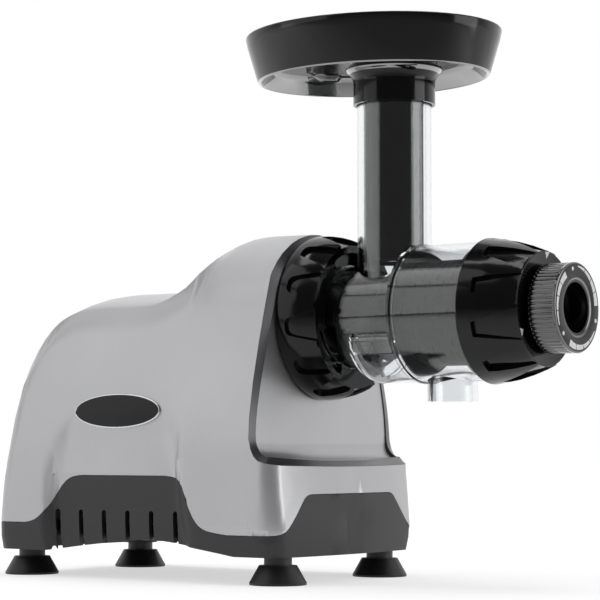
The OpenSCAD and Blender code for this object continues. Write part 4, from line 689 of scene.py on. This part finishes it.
class JUICER_OT_switch(bpy.types.Operator):
    """Rear switch frame and rocker with its two raised marks"""
    bl_idname = "juicer.switch"
    bl_label = "Rear switch"

    def execute(self, context):
        smooth_copy("switch_frame", finish("dull_black_abs"), angle=35, bevel=0.4 * MM, flat=0.5)
        smooth_copy("switch_rocker", finish("black_abs"), angle=35)
        bar, bar_edge = (0.5 * MM, 0.6 * MM, 3.0 * MM), 0.1 * MM
        ring_r, ring_wire = 1.4 * MM, 0.28 * MM
        from_middle, sunk = 2.9 * MM, 0.12 * MM
        low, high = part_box("switch_rocker")
        middle = (low + high) / 2
        for name, side in (("switch_mark_on", 1), ("switch_mark_off", -1)):
            place, normal = surface_at("switch_rocker",
                                       (low.x - CLEAR, 0, middle.z + side * from_middle), (1, 0, 0))
            if side > 0:
                bpy.ops.mesh.primitive_cube_add(size=1, scale=bar)
                mark = name_new(name)
                bpy.ops.object.transform_apply(scale=True)
                edge = mark.modifiers.new("edge", "BEVEL")
                edge.width, edge.segments = bar_edge, 2
                apply_all(mark)
            else:
                bpy.ops.mesh.primitive_torus_add(major_radius=ring_r, minor_radius=ring_wire,
                                                 major_segments=40, minor_segments=8,
                                                 rotation=(0, pi / 2, 0))
                mark = name_new(name)
            lay_on(mark, place, normal, (-1, 0, 0), sunk)
            settle(mark, "rocker", finish("white_ink"))
        return {"FINISHED"}


class JUICER_OT_side_plate(bpy.types.Operator):
    """Bare oval plate on the near flank: a bright rim round a domed black field"""
    bl_idname = "juicer.side_plate"
    bl_label = "Side plate"

    def execute(self, context):
        size = context.scene.juicer_plate
        outside = -0.2      # Y well clear of the near flank, in metres
        low, high, rear, front, middle = [
            surface_at("upper_housing",
                       (size.centre_x + x * size.half_w, outside, size.centre_z + z * size.half_h),
                       (0, 1, 0))[0] for x, z in ((0, -1), (0, 1), (-1, 0), (1, 0), (0, 0))]
        along = (front - rear).normalized()
        outward = along.cross(high - low).normalized()
        frame_at = Matrix((along, outward.cross(along), outward)).transposed().to_4x4()
        # it lies on the wall's outermost point and reaches back into the wall where that falls away
        proud = max((p - middle).dot(outward) for p in (low, high, rear, front))
        frame_at.translation = middle + outward * proud
        w, h, rim, top = size.half_w, size.half_h, size.rim_w, size.height
        sunk, lip, round_r = -1.0 * MM, top - 0.5 * MM, 0.25 * MM
        # the rim's section, from its outer foot over its rounded top to its inner foot
        ring = [(0, sunk), (0, top - round_r), (0.35 * rim, top), (0.7 * rim, top), (rim, lip), (rim, sunk)]
        self.plate("side_plate_rim", [(w - inset, h - inset, z) for inset, z in ring], frame_at, "plate_rim")
        steps = 8
        shares = [1 - k / steps for k in range(1, steps)]
        dome = [((w - rim) * share, (h - rim) * share, lip + size.crown * (1 - share ** 2))
                for share in shares]
        field = [(w - rim, h - rim, sunk), (w - rim, h - rim, lip), *dome]
        self.plate("side_plate_field", field, frame_at, "plate_field")
        return {"FINISHED"}

    def plate(self, name, rings, frame_at, look):
        """An oval built ring by ring outwards from the wall, each ring with its half sizes and height."""
        bpy.ops.mesh.primitive_circle_add(vertices=112, radius=1, fill_type="NGON")
        piece = name_new(name)
        edit_all(piece)
        now = (1, 1, 0)
        for k, new in enumerate(rings):
            if k:
                bpy.ops.mesh.extrude_region_move()
            bpy.ops.transform.resize(value=(new[0] / now[0], new[1] / now[1], 1), center_override=(0, 0, 0))
            bpy.ops.transform.translate(value=(0, 0, new[2] - now[2]))
            now = new
        face_outwards()
        bpy.ops.object.mode_set(mode="OBJECT")
        bpy.ops.object.shade_smooth_by_angle(angle=radians(50))
        piece.matrix_world = frame_at
        settle(piece, "base", finish(look))


class JUICER_OT_dial_marks(bpy.types.Operator):
    """Dots and growing wedges printed on the face of the pressure dial"""
    bl_idname = "juicer.dial_marks"
    bl_label = "Dial marks"

    def execute(self, context):
        size = context.scene.juicer_marks
        low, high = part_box("pressure_dial")
        centre = Vector((high.x, (low.y + high.y) / 2, (low.z + high.z) / 2))
        for k in range(size.sectors):
            turn = size.first_dot + k * 2 * pi / size.sectors
            bpy.ops.mesh.primitive_circle_add(vertices=28, radius=size.dot_r, fill_type="NGON",
                                              rotation=(0, pi / 2, 0),
                                              location=self.spot(centre, size.dot_ring_r, turn))
            dot = name_new(f"dial_dot_{k + 1}")
            print_mark(dot, size.print_t, "dial")
            self.wedge(centre, size, turn, k)
        return {"FINISHED"}

    def spot(self, centre, radius, turn):
        """A point on the dial's face; the turn runs clockwise from the top as the face is seen."""
        return centre + Vector((0, radius * sin(turn), radius * cos(turn)))

    def wedge(self, centre, size, turn, k):
        """One growing wedge, in four bars with thin gaps between them."""
        bars, steps, gap = 4, 8, radians(1.3)
        sweep = (size.wedge_to - size.wedge_from) / bars
        for bar in range(bars):
            bpy.ops.mesh.primitive_grid_add(x_subdivisions=steps, y_subdivisions=1, size=1)
            piece = name_new(f"dial_wedge_{k + 1}_{bar + 1}")
            for v in piece.data.vertices:
                along, across = v.co.x + 0.5, v.co.y + 0.5
                angle = size.wedge_from + sweep * bar + gap / 2 + (sweep - gap) * along
                share = (angle - size.wedge_from) / (size.wedge_to - size.wedge_from)
                width = size.wedge_w0 + (size.wedge_w1 - size.wedge_w0) * share
                v.co = self.spot(centre, size.wedge_r - width * (1 - across), turn + angle)
            print_mark(piece, size.print_t, "dial")


class JUICER_OT_cap_marks(bpy.types.Operator):
    """White pointers on the cap's face and a small ring mark on its top"""
    bl_idname = "juicer.cap_marks"
    bl_label = "Cap marks"

    def execute(self, context):
        low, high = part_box("end_cap")
        axis = Vector((0, (low.y + high.y) / 2, (low.z + high.z) / 2))
        self.pointers(axis, high.x + CLEAR, context.scene.juicer_marks)
        self.ring_mark(axis, low.x)
        return {"FINISHED"}

    def pointers(self, axis, outside, size):
        """Three flat triangles that point at the dial, a little thicker than its print."""
        from_axis = 31.0 * MM
        across, along = 0.5 * size.pointer_w, 0.5 * size.pointer_h
        for k, turn in enumerate((radians(2), radians(122), radians(243.5))):
            outward = Vector((0, sin(turn), cos(turn)))
            place, normal = surface_at("end_cap", axis + outward * from_axis + Vector((outside, 0, 0)),
                                       (-1, 0, 0))
            bpy.ops.mesh.primitive_circle_add(vertices=3, radius=1, fill_type="NGON")
            mark = name_new(f"cap_pointer_{k + 1}")
            side = normal.cross(outward).normalized()
            rise = side.cross(normal).normalized()
            corners = ((-across, along), (across, along), (0, -along))
            for v, (u, w) in zip(mark.data.vertices, corners):
                v.co = place + side * u + rise * w
            print_mark(mark, 2 * size.print_t, "cap")

    def ring_mark(self, axis, rear):
        """A small printed circle on the top of the cap, near its rear edge."""
        in_front, aside, above, sunk = 4.5 * MM, -6 * MM, 0.1, 0.08 * MM
        place, normal = surface_at("end_cap", axis + Vector((rear + in_front, aside, above)), (0, 0, -1))
        bpy.ops.mesh.primitive_torus_add(major_radius=1.9 * MM, minor_radius=0.22 * MM,
                                         major_segments=40, minor_segments=6)
        mark = name_new("cap_ring_mark")
        lay_on(mark, place, normal, (0, 0, 1), sunk)
        settle(mark, "cap", finish("white_ink"))


# ---------- operator: the stage ----------

class JUICER_OT_stage(bpy.types.Operator):
    """Floor, soft panels, room light and camera"""
    bl_idname = "juicer.stage"
    bl_label = "Stage"

    def execute(self, context):
        size = context.scene.juicer_stage
        self.floor(size)
        self.room(size)
        for name, (place, sides) in PANELS.items():
            self.panel("panel_" + name, Vector(place), sides, getattr(size, name))
        self.camera(size)
        return {"FINISHED"}

    def floor(self, size):
        """A white card under the object, far wider than the view."""
        deselect()
        bpy.ops.mesh.primitive_plane_add(size=2 * size.floor_half)
        board = name_new("floor_board")
        board.data.materials.append(finish("studio_floor"))

    def room(self, size):
        """The room: white behind the object and in glass, dimmer in gloss, and a soft fill for the rest."""
        world = bpy.data.worlds.new("studio_room")
        bpy.context.scene.world = world
        world.use_nodes = True
        tree = world.node_tree
        shader = tree.nodes["Background"]
        shader.inputs["Color"].default_value = (1, 1, 1, 1)
        way = add(tree, "ShaderNodeTexCoord").outputs["Generated"]
        # in gloss it is dim in front of the object, and turns white a little behind its sides
        behind = add(tree, "ShaderNodeVectorMath", {0: way, 1: BEHIND}, operation="DOT_PRODUCT")
        card = add(tree, "ShaderNodeMapRange", {"Value": behind.outputs["Value"], "From Min": -0.1,
                                                "From Max": 0.45, "To Min": size.room, "To Max": 1.0})
        seen = eye_or_mirror(tree, card.outputs["Result"])
        ray = add(tree, "ShaderNodeLightPath")
        soft = add(tree, "ShaderNodeMath", {0: ray.outputs["Is Diffuse Ray"], 1: size.fill},
                   operation="MULTIPLY")
        level = add(tree, "ShaderNodeMath", {0: soft.outputs[0], 1: seen.outputs[0]}, operation="MAXIMUM")
        lead(tree, shader, Strength=level.outputs[0])

    def panel(self, name, place, sides, radiance):
        """A soft rectangular lamp that faces the object."""
        light = bpy.data.lights.new(name, "AREA")
        light.shape = "RECTANGLE"
        light.size, light.size_y = sides
        light.energy = radiance * pi * sides[0] * sides[1]
        lamp = bpy.data.objects.new(name, light)
        bpy.context.scene.collection.objects.link(lamp)
        lamp.location = place
        lamp.rotation_euler = (AIM - place).to_track_quat("-Z", "Y").to_euler()

    def camera(self, size):
        """The camera, which looks along its azimuth and up by its tilt."""
        lens = bpy.data.cameras.new("product_camera")
        lens.lens, lens.sensor_width = size.lens, SENSOR
        eye = bpy.data.objects.new("product_camera", lens)
        bpy.context.scene.collection.objects.link(eye)
        eye.location = size.eye
        ahead = Vector((-sin(size.azimuth) * cos(size.tilt), cos(size.azimuth) * cos(size.tilt),
                        sin(size.tilt)))
        eye.rotation_euler = ahead.to_track_quat("-Z", "Y").to_euler()
        bpy.context.scene.camera = eye
        bpy.context.scene.view_settings.view_transform = "Standard"


OPERATORS = (JUICER_OT_housing, JUICER_OT_base, JUICER_OT_drive, JUICER_OT_drum, JUICER_OT_cap,
             JUICER_OT_tray, JUICER_OT_switch, JUICER_OT_side_plate, JUICER_OT_dial_marks,
             JUICER_OT_cap_marks, JUICER_OT_stage)


class JUICER_PT_panel(bpy.types.Panel):
    """Lists the steps and the sizes that they read"""
    bl_idname = "JUICER_PT_panel"
    bl_label = "Cold press juicer"
    bl_space_type = "VIEW_3D"
    bl_region_type = "UI"
    bl_category = "Juicer"

    def draw(self, context):
        for group in GROUPS:
            box = self.layout.box()
            settings = getattr(context.scene, group)
            for name in GROUPS[group].__annotations__:
                box.prop(settings, name)
        for operator in OPERATORS:
            self.layout.operator(operator.bl_idname)


def register():
    """Registers the classes and puts the settings on the scene."""
    for made in (*GROUPS.values(), *OPERATORS, JUICER_PT_panel):
        bpy.utils.register_class(made)
    for name, group in GROUPS.items():
        setattr(bpy.types.Scene, name, PointerProperty(type=group))


def unregister():
    """Takes the settings off the scene and the classes out."""
    for name in GROUPS:
        delattr(bpy.types.Scene, name)
    for made in (JUICER_PT_panel, *reversed(OPERATORS), *reversed(list(GROUPS.values()))):
        bpy.utils.unregister_class(made)


def main():
    """Runs every step in order."""
    register()
    for operator in OPERATORS:
        deselect()
        group, step = operator.bl_idname.split(".")
        getattr(getattr(bpy.ops, group), step)()


if __name__ == "__main__":
    main()
